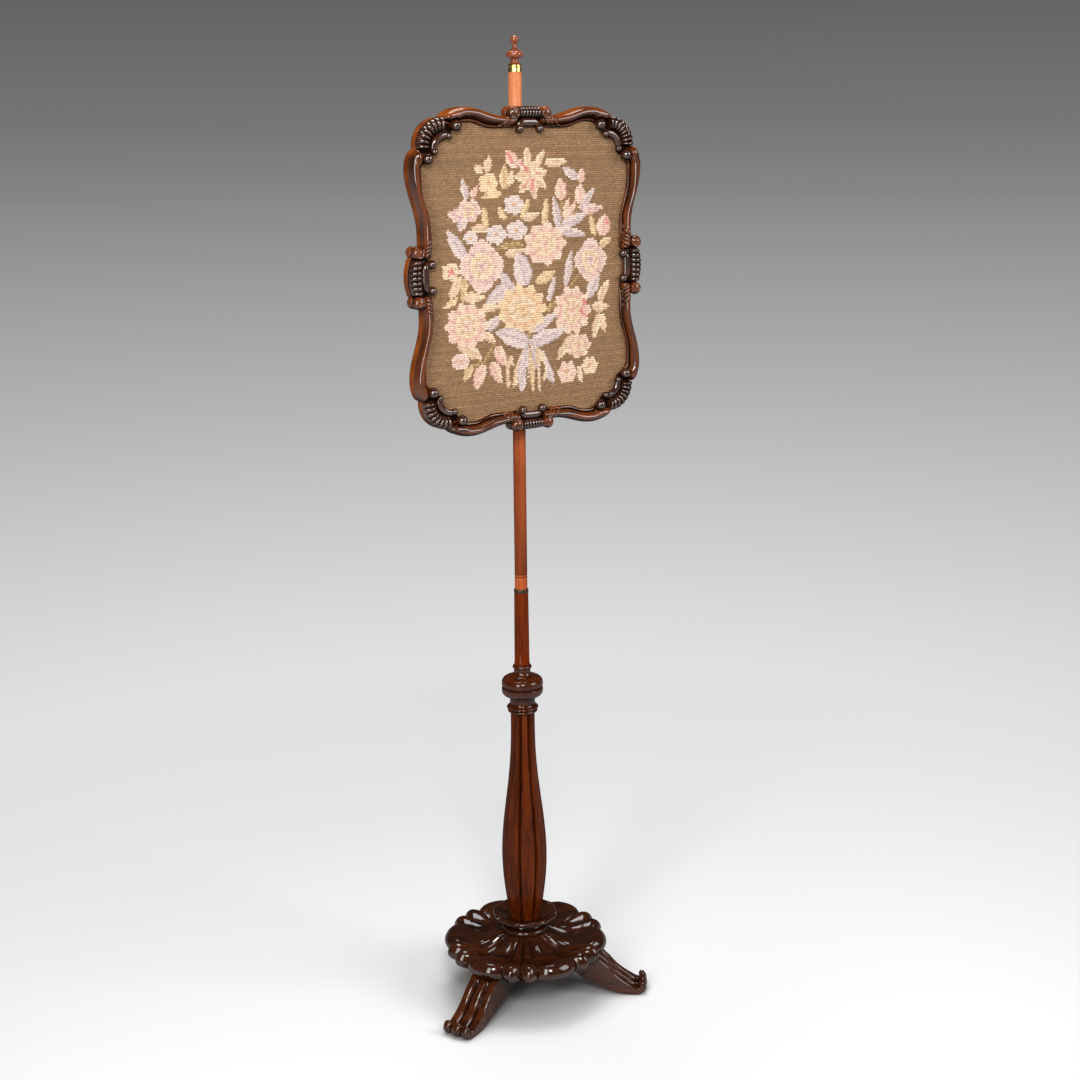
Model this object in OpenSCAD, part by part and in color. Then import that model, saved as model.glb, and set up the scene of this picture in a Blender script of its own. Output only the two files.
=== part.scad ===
// Pole screen: a carved frame with a needlework panel that slides and turns on a turned pole.
// Millimetres, +Z up. The origin is on the floor under the pole, and the screen faces -Y.

/* [Legs] */
// Angle of the tripod about the pole, against the screen
base_turn = -6.5; // [-60:0.5:60]
// Distance from the pole's axis to the outer end of a toe
leg_reach = 191; // [175:1:220]
// Width of a leg
leg_w = 46; // [40:1:54]
// Height of the rolled toe
toe_h = 27; // [24:1:34]
// Depth of the grooves between a leg's reeds
reed_depth = 5; // [1:0.5:7]

/* [Dish] */
// Radius of the dish over its large lobes
dish_r = 125; // [118:1:140]
// Height of the dish's flat underside above the floor
dish_under = 64; // [58:1:76]
// Thickness of the dish at its centre
dish_h = 34; // [30:1:42]
// Number of large lobes round the dish
large_lobes = 6; // [3:3:9]
// Share of each pitch that a large lobe takes
large_share = 0.54; // [0.4:0.02:0.7]
// Depth of the grooves between the lobes at the rim
lobe_depth = 10; // [4:0.5:14]

/* [Column] */
// Radius of the turned ring under the column
base_ring_r = 36; // [34:1:40]
// Radius of the lotus collar over its petals
lotus_r = 51; // [44:1:60]
// Height of the lotus collar
lotus_h = 11; // [9:1:16]
// Length of the eight-sided column
column_h = 331; // [260:1:380]
// Radius of the column at its foot
column_foot_r = 24; // [21:0.5:28]
// Radius of the column at its belly
column_belly_r = 34.8; // [30:0.2:42]
// Radius of the column at its neck
column_neck_r = 18.4; // [16:0.2:22]
// Depth of the grooves between the column's faces
column_groove = 2.8; // [0.6:0.2:3.6]
// Radius of the knop above the column
knop_r = 30.6; // [27:0.2:36]
// Height of the knop's straight band
knop_band = 15; // [10:0.5:22]

/* [Pole] */
// Length of the thick lower stem
stem_h = 110.5; // [80:0.5:160]
// Radius of the lower stem at its top
stem_r = 10.4; // [9.8:0.1:12]
// Radius of the pole that the screen slides on
pole_r = 9.2; // [8:0.1:9.6]
// Length of the pole that shows
pole_h = 729; // [640:1:800]
// Radius of the finial's disc
finial_r = 11.6; // [9:0.2:15]

/* [Screen] */
// Width of the carved frame
screen_w = 374; // [350:1:420]
// Height of the carved frame
screen_h = 442; // [410:1:500]
// Thickness of the carved frame
frame_t = 26; // [24:0.5:30]
// Height of the frame's centre above the floor
screen_z = 1104; // [1060:1:1112]
// Distance from the pole's axis to the back of the frame
frame_back = 17; // [16:0.5:24]
// Depth of the rebate that holds the panel
rebate_d = 12.5; // [11:0.5:14]
// Width of the rebate behind the frame's inner edge
rebate_w = 5; // [3:0.5:7]
// Thickness of the needlework with its canvas
needlework_t = 2.2; // [1.5:0.1:3]
// Thickness of the back panel
back_panel_t = 3; // [2:0.5:4]

/* [Hardware] */
// Height of each eye on the pole
eye_h = 12; // [8:1:16]
// Height of the brass height collar
collar_h = 10; // [8:0.5:14]
// Radius of the thumb screw's shank
thumb_r = 2.5; // [2:0.1:3]

/* [Hidden] */
$fn = 48;

// Clearances: glued or driven fit, running fit, soft or loose fit, cut-through allowance
glue_fit = 0.05;
run_fit = 0.06;
loose_fit = 0.3;
cut = 1;

// Wood and metal colours
dark_wood = [0.27, 0.13, 0.08];
pole_wood = [0.72, 0.40, 0.22];
brass_tone = [0.80, 0.62, 0.25];
iron_tone = [0.30, 0.28, 0.26];
wool_tone = [0.48, 0.39, 0.26];
board_tone = [0.78, 0.66, 0.46];
back_tone = [0.36, 0.22, 0.13];

// Stand: heights of the stacked pieces
dish_top = dish_under + dish_h;
base_ring_h = 18;
lotus_z = dish_top + base_ring_h;
lotus_seat = 4;
column_z = lotus_z + lotus_seat;
knop_z = column_z + column_h;
knop_ring_r = column_neck_r + 5.1;
knop_ring_h = 14;
knop_neck_h = 11;
knop_under_h = 9;
knop_shoulder_h = 15;
knop_bead_h = 10.5;
knop_h = knop_ring_h + knop_neck_h + knop_under_h + knop_band + knop_shoulder_h + knop_bead_h;
bead_r = stem_r + 3.7;
stem_foot_r = stem_r + 0.8;
stem_z = knop_z + knop_h;
ferrule_h = 5;
ferrule_z = stem_z + stem_h;
pole_z = ferrule_z + ferrule_h;
pole_top = pole_z + pole_h;
cap_h = 11;
finial_z = pole_top + cap_h;

// Stand: tenons and their sockets
column_tenon_r = 14;
dish_floor = 8;
column_tenon_len = dish_h + base_ring_h + lotus_seat - dish_floor;
knop_tenon_r = 9;
knop_tenon_len = 28;
stem_tenon_r = 6.5;
stem_tenon_len = 26;
pole_tenon_r = 6;
pole_tenon_len = 36;
cap_wall = 1.1;
cap_socket = cap_h - 2;
peg_r = 2.5;
peg_len = 26;
finial_gap = 0.05;

// Stand: legs and their screws
leg_count = 3;
leg_first = -30;
leg_root = 44;
leg_thick = 27;
screw_r = 2.4;
screw_head_r = 4.6;
screw_head_h = 4;
screw_bite = 14;
screw_rows = [58, 82];
column_faces = 8;
groove_half = 2.25;
face_roundness = 0.5;

// Screen: half sizes, and the scale of its carving, which is drawn for a frame 374 wide
half_w = screen_w / 2;
half_h = screen_h / 2;
carving = screen_w / 374;

// Screen: each corner's fan, with its middle, its ribs and the C-shaped band inside them
corner_r = 37.5 * carving;
side_step = 14 * carving;
top_step = 16.5 * carving;
corner_u = half_w - side_step - corner_r;
corner_v = half_h - top_step - corner_r;
corner_in = 13 * carving;
corner_band_r = 18 * carving;
corner_rib_r = 27.8 * carving;
corner_rib_half = 6.2 * carving;

// Screen: scrolls beside the crests, the ribs between them and the ledge outside the ribs
top_scroll_u = 27.5 * carving;
side_scroll_v = 33 * carving;
scroll_r = 8.5 * carving;
top_scroll_v = half_h - scroll_r;
side_scroll_u = half_w - 12.5 * carving;
crest_rib_half = 6.4 * carving;
crest_ledge = 1.2 * carving;
crest_gap = 0.5;
top_crest_half = top_scroll_u - scroll_r - crest_gap;
side_crest_half = side_scroll_v - scroll_r - crest_gap;
top_swell = 0.5 * carving;
side_swell = 4.5 * carving;

// Screen: S-mouldings, [start, waist end, bulge, tip, waist outer, bulge outer, tip outer, waist inner,
// bulge inner, inner rise start, inner rise end, eye along, eye across]
top_s = [
  top_scroll_u - 3 * carving, top_scroll_u + 10.5 * carving,
  corner_u - 35.5 * carving, corner_u - carving,
  half_h - 12.4 * carving, half_h - carving, half_h - 18 * carving,
  half_h - 28 * carving, half_h - 20 * carving,
  corner_u - 75.5 * carving, corner_u - 42.5 * carving,
  corner_u - 17.5 * carving, corner_v + 26.5 * carving
];
side_s = [
  side_scroll_v - 3 * carving, side_scroll_v + 24 * carving,
  corner_v - 27 * carving, corner_v - 1.5 * carving,
  half_w - 19 * carving, half_w - 2 * carving, half_w - 15.5 * carving,
  half_w - 36 * carving, half_w - 21 * carving,
  side_scroll_v + 29 * carving, corner_v - 45 * carving,
  corner_v - 18 * carving, corner_u + 26.5 * carving
];
eye_hook = 13 * carving;
eye_side = 1.5 * carving;
tip_w = 3 * carving;
eye_ball_r = 6 * carving;
small_ball_r = 3.4 * carving;
small_ball_at = 15 * carving;
crest_ball_r = 4.5 * carving;
top_ball_p = 16 * carving;
side_ball_p = 17.5 * carving;
crest_ball_q = -21 * carving;
ball_gap = 0.4;
band_w = 8 * carving;
band_h = 9;
plate_t = 3;

// Cross-section of a moulding: share of its width from the outer edge, share of the frame's thickness
moulding = [
  [0, 0], [0, 0.55], [0.05, 0.76], [0.17, 0.93], [0.34, 1], [0.5, 0.95],
  [0.62, 0.8], [0.68, 0.67], [0.76, 0.71], [0.9, 0.66], [1, 0.56], [1, 0]
];

// Panel stack, measured from the back of the frame
brad_r = 0.7;
brad_len = 12;
brad_u = 70;
brad_v = 78;
brad_d = 1.2;
back_panel_d = brad_d + brad_r + 0.1;
needlework_d = rebate_d - loose_fit - needlework_t;
canvas_d = back_panel_d + back_panel_t;

// Brackets and collar
bracket_w = 46;
bracket_plate_h = 14;
bracket_plate_t = 2;
bracket_v = half_h - 14;
bracket_screw_u = 17;
bracket_screw_r = 1.7;
bracket_screw_len = 10;
eye_wall = 3;
eye_r = pole_r + run_fit + eye_wall;
collar_wall = 4.5;
collar_edge = 1;
collar_split = 1.6;
collar_r = pole_r + run_fit + collar_wall;
collar_top = screen_z - bracket_v - eye_h / 2 - loose_fit;
thumb_boss_r = 5;
thumb_boss = 4;
thumb_tip = pole_r + loose_fit;
thumb_neck = 6;
thumb_wing = 9;
thumb_wing_t = 2.4;

function mix(a, b, t) = a + (b - a) * t;
function clamp01(t) = min(1, max(0, t));
function ease(t) = (1 - cos(180 * clamp01(t))) / 2;
function arc(c, rx, ry, from, to, n) =
  [for (i = [0 : n]) let (a = mix(from, to, i / n)) [c[0] + rx * cos(a), c[1] + ry * sin(a)]];
function mean(ring) = [for (k = [0 : 2]) [for (p = ring) p[k]] * [for (p = ring) 1] / len(ring)];
function mirror_u(pts) = [for (i = [len(pts) - 1 : -1 : 0]) [-pts[i][0], pts[i][1]]];
function mirror_v(pts) = [for (i = [len(pts) - 1 : -1 : 0]) [pts[i][0], -pts[i][1]]];

// Solid through closed rings of equal length that run clockwise seen along it, with fans on both ends
module loft(rings) {
  n = len(rings[0]);
  m = len(rings);
  points = concat([for (ring = rings) each ring], [mean(rings[0]), mean(rings[m - 1])]);
  sides = [
    for (i = [0 : m - 2], j = [0 : n - 1])
      let (a = i * n + j, b = i * n + (j + 1) % n, c = a + n, d = b + n)
        each [[a, b, d], [a, d, c]]
  ];
  first = [for (j = [0 : n - 1]) [m * n, (j + 1) % n, j]];
  last = [for (j = [0 : n - 1]) [m * n + 1, (m - 1) * n + j, (m - 1) * n + (j + 1) % n]];
  polyhedron(points, concat(sides, first, last));
}

// Dish: one lobe's crown along its length as [share of the radius, share of the thickness]
dish_crown = [
  [0.26, 1], [0.31, 0.97], [0.37, 0.86], [0.47, 0.7], [0.58, 0.63], [0.69, 0.675], [0.79, 0.78],
  [0.87, 0.84], [0.93, 0.78], [0.98, 0.6], [1, 0.41], [0.985, 0.22], [0.93, 0.06], [0.83, 0]
];
lobe_pitch = 360 / large_lobes;
large_half = lobe_pitch * large_share / 2;
narrow_half = lobe_pitch * (1 - large_share) / 4;
large_steps = [-1, -0.85, -0.6, -0.25, 0.25, 0.6, 0.85];
narrow_steps = [-1, -0.7, 0, 0.7];
// Angle and swell of each point round the dish: the swell is 1 on a lobe's crown and 0 in a groove
dish_round = [
  for (k = [0 : large_lobes - 1]) each concat(
    [for (s = large_steps) [k * lobe_pitch + s * large_half, 1 - s * s]],
    [for (i = [1, 3], s = narrow_steps)
      [k * lobe_pitch + large_half + (i + s) * narrow_half, 1 - s * s]]
  )
];
// A groove runs from the turned ring to the rim, and ends on the flat underside
function groove_share(i) = i == 0 || i == len(dish_crown) - 1 ? 0 : clamp01((i + 1) / 3);
flute_share = 0.45;
rim_row = 10;
function dish_ring(i) = [
  for (p = dish_round)
    let (
      share = dish_crown[i][0],
      low = lobe_depth * (1 - p[1]) * groove_share(i),
      r = dish_r * share - low * pow(share, 4),
      drop = i < rim_row ? low * flute_share : 0
    )
      [r * cos(p[0]), r * sin(p[0]), dish_under + dish_h * dish_crown[i][1] - drop]
];

module base_dish() {
  color(dark_wood) difference() {
    rotate(base_turn + leg_first) loft([for (i = [0 : len(dish_crown) - 1]) dish_ring(i)]);
    translate([0, 0, dish_under + dish_floor])
      cylinder(r = column_tenon_r + glue_fit, h = dish_h);
    leg_screw_holes();
  }
}

// Side view of a leg from its root to its toe, as pairs of points on its reeded top and on its underside:
// R in shares of the leg's reach, and z in shares of the dish's height above the floor or of the toe's
leg_sides = [
  [leg_root, dish_under, leg_root, dish_under - leg_thick * 0.9],
  [leg_reach * 0.4, dish_under, leg_reach * 0.4, dish_under - leg_thick],
  [leg_reach * 0.52, dish_under, leg_reach * 0.466, dish_under * 0.43],
  [leg_reach * 0.575, dish_under * 0.96, leg_reach * 0.52, dish_under * 0.355],
  [leg_reach * 0.627, dish_under * 0.84, leg_reach * 0.58, dish_under * 0.265],
  [leg_reach * 0.676, dish_under * 0.7, leg_reach * 0.64, dish_under * 0.18],
  [leg_reach * 0.725, dish_under * 0.53, leg_reach * 0.7, dish_under * 0.105],
  [leg_reach * 0.775, dish_under * 0.395, leg_reach * 0.765, dish_under * 0.04],
  [leg_reach * 0.822, dish_under * 0.295, leg_reach * 0.84, 0],
  [leg_reach * 0.865, toe_h * 0.5, leg_reach * 0.885, 0],
  [leg_reach * 0.9, toe_h * 0.37, leg_reach * 0.925, 0],
  [leg_reach * 0.915, toe_h * 0.4, leg_reach * 0.957, toe_h * 0.03],
  [leg_reach * 0.922, toe_h * 0.52, leg_reach * 0.985, toe_h * 0.17],
  [leg_reach * 0.919, toe_h * 0.68, leg_reach, toe_h * 0.42],
  [leg_reach * 0.911, toe_h * 0.82, leg_reach * 0.998, toe_h * 0.7],
  [leg_reach * 0.913, toe_h * 0.93, leg_reach * 0.983, toe_h * 0.92],
  [leg_reach * 0.935, toe_h * 0.99, leg_reach * 0.962, toe_h]
];
reeds = 3;
reed_steps = [0, 0.18, 0.5, 0.82];
leg_across = [
  for (k = [0 : reeds - 1], f = reed_steps) [(k + f) / reeds - 0.5, sqrt(1 - pow(2 * f - 1, 2))]
];
leg_edge = concat(leg_across, [[0.5, 0]]);
reed_share = 0.28;
// The reeds run out under the dish, and go round the toe
function top_reed(i) = i < 3 ? 0 : clamp01((i - 2) / 2);
function under_reed(i) = clamp01((i - 10) / 2);
function leg_ring(i) =
  let (
    s = leg_sides[i],
    top = [s[0], s[1]],
    under = [s[2], s[3]],
    down = (under - top) / norm(under - top),
    reed = min(reed_depth, norm(under - top) * reed_share),
    last = len(leg_edge) - 1
  )
    concat(
      [for (e = leg_edge)
        let (p = top + down * (1 - e[1]) * reed * top_reed(i))
          [p[0], e[0] * leg_w, p[1]]],
      [for (j = [last : -1 : 0])
        let (e = leg_edge[j], p = under - down * (1 - e[1]) * reed * under_reed(i))
          [p[0], e[0] * leg_w, p[1]]]
    );

module leg(k) {
  color(dark_wood) difference() {
    rotate(base_turn + leg_first + k * 360 / leg_count)
      loft([for (i = [0 : len(leg_sides) - 1]) leg_ring(i)]);
    leg_screw_holes();
  }
}

// Places of the screws that hold the legs to the dish, from below
module at_leg_screws() {
  for (k = [0 : leg_count - 1], r = screw_rows)
    rotate(base_turn + leg_first + k * 360 / leg_count) translate([r, 0, dish_under]) children();
}

module leg_screw(fit) {
  translate([0, 0, -leg_thick * 0.5])
    cylinder(r = screw_r + fit, h = leg_thick * 0.5 + screw_bite + fit);
  translate([0, 0, -leg_thick * 0.5 - screw_head_h])
    cylinder(r = screw_head_r + fit, h = screw_head_h + fit);
}

module leg_screw_holes() {
  at_leg_screws() {
    leg_screw(glue_fit);
    translate([0, 0, -leg_thick * 1.5]) cylinder(r = screw_head_r + glue_fit, h = leg_thick);
  }
}

module leg_right() leg(0);
module leg_back() leg(1);
module leg_left() leg(2);
module leg_screws() color(iron_tone) at_leg_screws() leg_screw(0);

// Turned ring and cove on the dish
module base_ring() {
  ring_h = base_ring_h * 0.45;
  cove_r = base_ring_r - 5;
  color(dark_wood) translate([0, 0, dish_top]) rotate_extrude() polygon(concat(
    [[column_tenon_r + glue_fit, 0], [base_ring_r - 4, 0]],
    arc([base_ring_r - ring_h / 2, ring_h / 2], ring_h / 2, ring_h / 2, -90, 90, 8),
    [[cove_r, ring_h + 0.5]],
    arc([cove_r + 2, base_ring_h * 0.75], 4, base_ring_h * 0.25, -120, -240, 5),
    [[cove_r, base_ring_h], [column_tenon_r + glue_fit, base_ring_h]]
  ));
}

// Eight-petalled lotus collar: rings of [radius share, height share, how far the petals stand out]
lotus_rings = [
  [0.56, 0, 0], [0.62, 0.08, 0.4], [0.8, 0.22, 0.8], [0.95, 0.42, 1], [1, 0.68, 1], [0.97, 0.93, 1],
  [0.9, 1, 1], [0.78, 0.78, 0.7], [0.62, 0.48, 0.3], [0.52, lotus_seat / lotus_h, 0]
];
petal_steps = [-1, -0.8, -0.3, 0.3, 0.8];
function lotus_ring(i) = [
  for (k = [0 : column_faces - 1], s = petal_steps)
    let (
      pitch = 360 / column_faces,
      a = (k + 0.5 + s / 2) * pitch,
      flat = cos(pitch / 2) / cos(s * pitch / 2),
      notch = abs(s) == 1 ? 0.06 : 0,
      g = lotus_rings[i],
      r = lotus_r * g[0] * mix(1, mix(flat, 1, 0.3) - notch, g[2])
    )
      [r * cos(a), r * sin(a), lotus_z + g[1] * lotus_h]
];

module lotus_collar() {
  color(dark_wood) difference() {
    loft([for (i = [len(lotus_rings) - 1 : -1 : 0]) lotus_ring(i)]);
    translate([0, 0, lotus_z - cut]) cylinder(r = column_tenon_r + glue_fit, h = lotus_h + 2 * cut);
  }
}

// Eight-sided baluster: the belly lies this share of the way up
belly_at = 0.31;
column_rings = 17;
function column_radius(f) = f < belly_at
  ? mix(column_foot_r, column_belly_r, sin(90 * f / belly_at))
  : mix(column_neck_r, column_belly_r, pow(cos(90 * (f - belly_at) / (1 - belly_at)), 3));
face_steps = [-1, -0.5, 0, 0.5, 1];
function column_ring(f) = [
  for (k = [0 : column_faces - 1])
    let (
      r = column_radius(f),
      half = 180 / column_faces,
      edge = half - asin(groove_half / r),
      bottom = r - column_groove - groove_half * 0.4,
      start = k * 2 * half
    )
      each concat(
        [[bottom * cos(start), bottom * sin(start), column_z + f * column_h]],
        [for (s = face_steps)
          let (
            a = start + half + s * edge,
            q = mix(r * cos(half) / cos(s * edge), r, face_roundness)
          )
            [q * cos(a), q * sin(a), column_z + f * column_h]]
      )
];

module column() {
  color(dark_wood) union() {
    loft([for (i = [column_rings - 1 : -1 : 0]) column_ring(i / (column_rings - 1))]);
    translate([0, 0, column_z - column_tenon_len])
      cylinder(r = column_tenon_r, h = column_tenon_len + cut);
    translate([0, 0, knop_z - cut]) cylinder(r = knop_tenon_r, h = knop_tenon_len + cut);
  }
}

// Turned knop with an astragal below it and a bead above it
module column_knop() {
  under = knop_ring_h + knop_neck_h;
  band = under + knop_under_h;
  shoulder = band + knop_band;
  bead = shoulder + knop_shoulder_h;
  line = 1.2;
  color(dark_wood) translate([0, 0, knop_z]) difference() {
    rotate_extrude() polygon(concat(
      [[0, 0], [column_neck_r, 0]],
      arc([column_neck_r, knop_ring_h / 2], knop_ring_r - column_neck_r, knop_ring_h / 2 - 1, -80, 80, 8),
      [[column_neck_r, knop_ring_h], [column_neck_r, under]],
      arc([column_neck_r + 2, band], knop_r - column_neck_r - 2, knop_under_h - 0.5, -85, 0, 5),
      [[knop_r, band + knop_band / 2 - line], [knop_r - line, band + knop_band / 2]],
      [[knop_r, band + knop_band / 2 + line], [knop_r, shoulder]],
      arc([knop_r - 5, shoulder + 2], 4, 4, 0, 75, 4),
      arc([bead_r + 10.5, bead], bead_r + 10.5 - stem_foot_r - 1, knop_shoulder_h - 8, -100, -172, 5),
      [[stem_foot_r + 0.5, bead + 3]],
      arc([stem_foot_r, bead + 7], bead_r - stem_foot_r, 3, -80, 80, 6),
      [[stem_foot_r, knop_h], [0, knop_h]]
    ));
    translate([0, 0, -cut]) cylinder(r = knop_tenon_r + glue_fit, h = knop_tenon_len + cut);
    translate([0, 0, knop_h - stem_tenon_len])
      cylinder(r = stem_tenon_r + glue_fit, h = stem_tenon_len + cut);
  }
}

module lower_stem() {
  color(dark_wood) difference() {
    union() {
      translate([0, 0, stem_z]) cylinder(r1 = stem_foot_r, r2 = stem_r, h = stem_h);
      translate([0, 0, stem_z - stem_tenon_len]) cylinder(r = stem_tenon_r, h = stem_tenon_len + cut);
    }
    translate([0, 0, ferrule_z - pole_tenon_len + ferrule_h])
      cylinder(r = pole_tenon_r + glue_fit, h = pole_tenon_len);
  }
}

// Ring on top of the lower stem, that the pole's shoulder stands on
module stem_ferrule() {
  color(iron_tone) translate([0, 0, ferrule_z]) rotate_extrude() polygon([
    [pole_tenon_r + glue_fit, 0], [stem_r, 0], [stem_r + 0.4, 0.8], [stem_r + 0.4, ferrule_h - 1.2],
    [stem_r - 0.4, ferrule_h], [pole_tenon_r + glue_fit, ferrule_h]
  ]);
}

module pole() {
  spigot_r = pole_r - cap_wall - glue_fit;
  color(pole_wood) difference() {
    union() {
      translate([0, 0, pole_z]) cylinder(r = pole_r, h = pole_h);
      translate([0, 0, pole_z - pole_tenon_len]) cylinder(r = pole_tenon_r, h = pole_tenon_len + cut);
      translate([0, 0, pole_top - cut]) cylinder(r = spigot_r, h = cap_socket + cut);
    }
    translate([0, 0, finial_z - peg_len - cut]) cylinder(r = peg_r + run_fit, h = peg_len + 2 * cut);
  }
}

// Brass cap on the pole's end, with a thin lip at its foot and a hole for the finial's peg
module pole_ferrule() {
  color(brass_tone) translate([0, 0, pole_top]) difference() {
    rotate_extrude() polygon([
      [0, 0], [pole_r + 0.3, 0], [pole_r + 0.3, 1.2], [pole_r, 1.8], [pole_r, cap_h - 2.5],
      [pole_r - 0.8, cap_h - 0.8], [pole_r - 2.2, cap_h], [0, cap_h]
    ]);
    translate([0, 0, -cut]) cylinder(r = pole_r - cap_wall, h = cap_socket + cut);
    cylinder(r = peg_r + run_fit, h = cap_h + cut);
  }
}

module finial() {
  flare = 3;
  neck = 6;
  disc = 12;
  tip = 21;
  ball_r = 5.7;
  neck_r = 5.4;
  tip_r = 2.9;
  color(dark_wood) translate([0, 0, finial_z + finial_gap]) union() {
    rotate_extrude() polygon(concat(
      [[0, 0], [pole_r - 2.4, 0]],
      arc([neck_r + 1.6, flare + 0.5], 1.6, 2.6, 250, 180, 3),
      [[neck_r, neck], [neck_r + 0.8, neck + 0.6]],
      arc([finial_r - 3.4, disc], 3.4, 4, -75, 60, 6),
      arc([finial_r - 1.2, tip + 1], finial_r - 1.2 - tip_r, tip - disc - 3.5, 250, 182, 5),
      [[tip_r, tip + 6], [0, tip + 6]]
    ));
    translate([0, 0, tip + 6 + ball_r - 1.2]) sphere(r = ball_r);
    translate([0, 0, -peg_len]) cylinder(r = peg_r, h = peg_len + cut);
  }
}

// Places a shape drawn on the frame's face: x to the right, y up from its centre, z forward from its back
module on_screen() translate([0, -frame_back, screen_z]) rotate([90, 0, 0]) children();

// Outer and inner edge of an S-moulding at a distance t along it
function s_outer(s, t) = t <= s[1] ? s[4]
  : t <= s[2] ? mix(s[4], s[5], ease((t - s[1]) / (s[2] - s[1])))
  : mix(s[6], s[5], sqrt(max(0, 1 - pow((t - s[2]) / (s[3] - s[2]), 2))));
function s_lip(s, t) = mix(s[7], s[8], ease((t - s[9]) / (s[10] - s[9])));
function s_inner(s, t) = t <= s[11] - eye_hook ? s_lip(s, t)
  : t <= s[11] ? mix(s[8], s[12] - eye_side, ease((t - s[11] + eye_hook) / eye_hook))
  : mix(s[12] - eye_side, s[6] - tip_w, pow(clamp01((t - s[11]) / (s[3] - s[11])), 1.6));
// Stations along an S-moulding, closer together towards its tip
s_steps = [0, 0.12, 0.26, 0.38, 0.48, 0.57, 0.65, 0.72, 0.79, 0.85, 0.9, 0.945, 0.975, 1];
function s_ring(s, f) =
  let (
    t = mix(s[0], s[3], f),
    o = s_outer(s, t),
    w = o - s_inner(s, t),
    tall = mix(1, 0.8, clamp01((f - 0.9) / 0.1))
  )
    [for (q = moulding) [o - q[0] * w, t, q[1] * frame_t * (q[1] > 0.6 ? tall : 1)]];

// Scroll beside a crest: a drum as deep as the frame, with a domed front
module scroll_drum() {
  dome = scroll_r * 0.7;
  h = frame_t - dome;
  rotate_extrude() polygon(concat([[0, 0], [scroll_r, 0]], arc([0, h], scroll_r, dome, 0, 90, 7)));
}

// One S-moulding of a rail, and the same of a stile
module rail_moulding() {
  loft([
    for (i = [len(s_steps) - 1 : -1 : 0])
      [for (p = s_ring(top_s, s_steps[i])) [p[1], p[0], p[2]]]
  ]);
  translate([top_scroll_u, top_scroll_v, 0]) scroll_drum();
  translate([top_s[11], top_s[12], rebate_d + eye_ball_r + ball_gap]) sphere(r = eye_ball_r);
}

module stile_moulding() {
  loft([for (f = s_steps) s_ring(side_s, f)]);
  translate([side_scroll_u, side_scroll_v, 0]) scroll_drum();
  translate([side_s[12], side_s[11], rebate_d + eye_ball_r + ball_gap]) sphere(r = eye_ball_r);
}

// Outline of the panel in its rebate, grown by off: a quarter of it, then all of it
rail_places = [0, 0.3, 0.55, 0.65, 0.75, 0.85, 0.95] * (top_s[11] - eye_hook);
stile_places = [0.98, 0.88, 0.78, 0.68, 0.58, 0.48, 0.4] * (side_s[11] - eye_hook);
function panel_quarter(off) = let (edge = rebate_w + off) concat(
  [for (t = rail_places) [t, s_lip(top_s, t) + edge]],
  arc([corner_u, corner_v], corner_in + edge, corner_in + edge, 105, -15, 6),
  [for (t = stile_places) [s_lip(side_s, t) + edge, t]]
);
function panel_half(off) = let (q = panel_quarter(off)) concat(q, mirror_v(q));
function panel_outline(off) =
  let (h = panel_half(off)) concat(h, mirror_u([for (i = [1 : len(h) - 2]) h[i]]));

module panel_slab(from, to, off)
  translate([0, 0, from]) linear_extrude(to - from) polygon(panel_outline(off));

// Brads lie on the back panel and are driven into the frame: two to a side
module at_brads() {
  rail_edge = s_lip(top_s, brad_u) + rebate_w;
  stile_edge = s_lip(side_s, brad_v) + rebate_w;
  for (a = [-1, 1], b = [-1, 1]) {
    translate([a * brad_u, b * rail_edge, brad_d]) rotate([-90 * b, 0, 0]) children();
    translate([a * stile_edge, b * brad_v, brad_d]) rotate([0, 90 * a, 0]) children();
  }
}

module brad(fit) translate([0, 0, -brad_len / 2]) cylinder(r = brad_r + fit, h = brad_len + fit);

module bracket_screw_holes() {
  for (a = [-1, 1], b = [-1, 1])
    translate([a * bracket_screw_u, b * bracket_v, -cut])
      cylinder(r = bracket_screw_r + glue_fit, h = bracket_screw_len + cut);
}

// Bow of a crest between its scrolls, and its outer edge as [place along it, distance out from its scrolls]
bow_steps = 8;
function bow(p, half_len, swell) = swell * (1 - pow(p / half_len, 2));
function crest_edge(half_len, swell) = [
  for (i = [0 : bow_steps])
    let (p = mix(-half_len, half_len, i / bow_steps))
      [p, bow(p, half_len, swell) + crest_rib_half + crest_ledge]
];

// Flat ground behind the carvings, which the mouldings stand on
ground_side = 12 * carving;
ground_drop = 2 * carving;
fan_back = 16 * carving;
fan_low = 6 * carving;
module rail_ground() {
  fan = arc([corner_u, corner_v], corner_r, corner_r, 0, 90, 10);
  half = top_scroll_u + ground_side;
  waist = top_s[4] - ground_drop;
  edge = crest_edge(top_crest_half, top_swell);
  linear_extrude(rebate_d) {
    polygon(concat(
      [[half, waist], [half, top_s[7]], [-half, top_s[7]], [-half, waist]],
      [[-top_scroll_u, top_scroll_v]],
      [for (e = edge) [e[0], top_scroll_v + e[1]]],
      [[top_scroll_u, top_scroll_v]]
    ));
    for (a = [0, 1]) mirror([a, 0]) polygon(concat(fan, [
      [corner_u - fan_back, corner_v + corner_r - carving], [corner_u - fan_back, top_s[12] - fan_low],
      [corner_u, corner_v]
    ]));
  }
}

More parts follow.
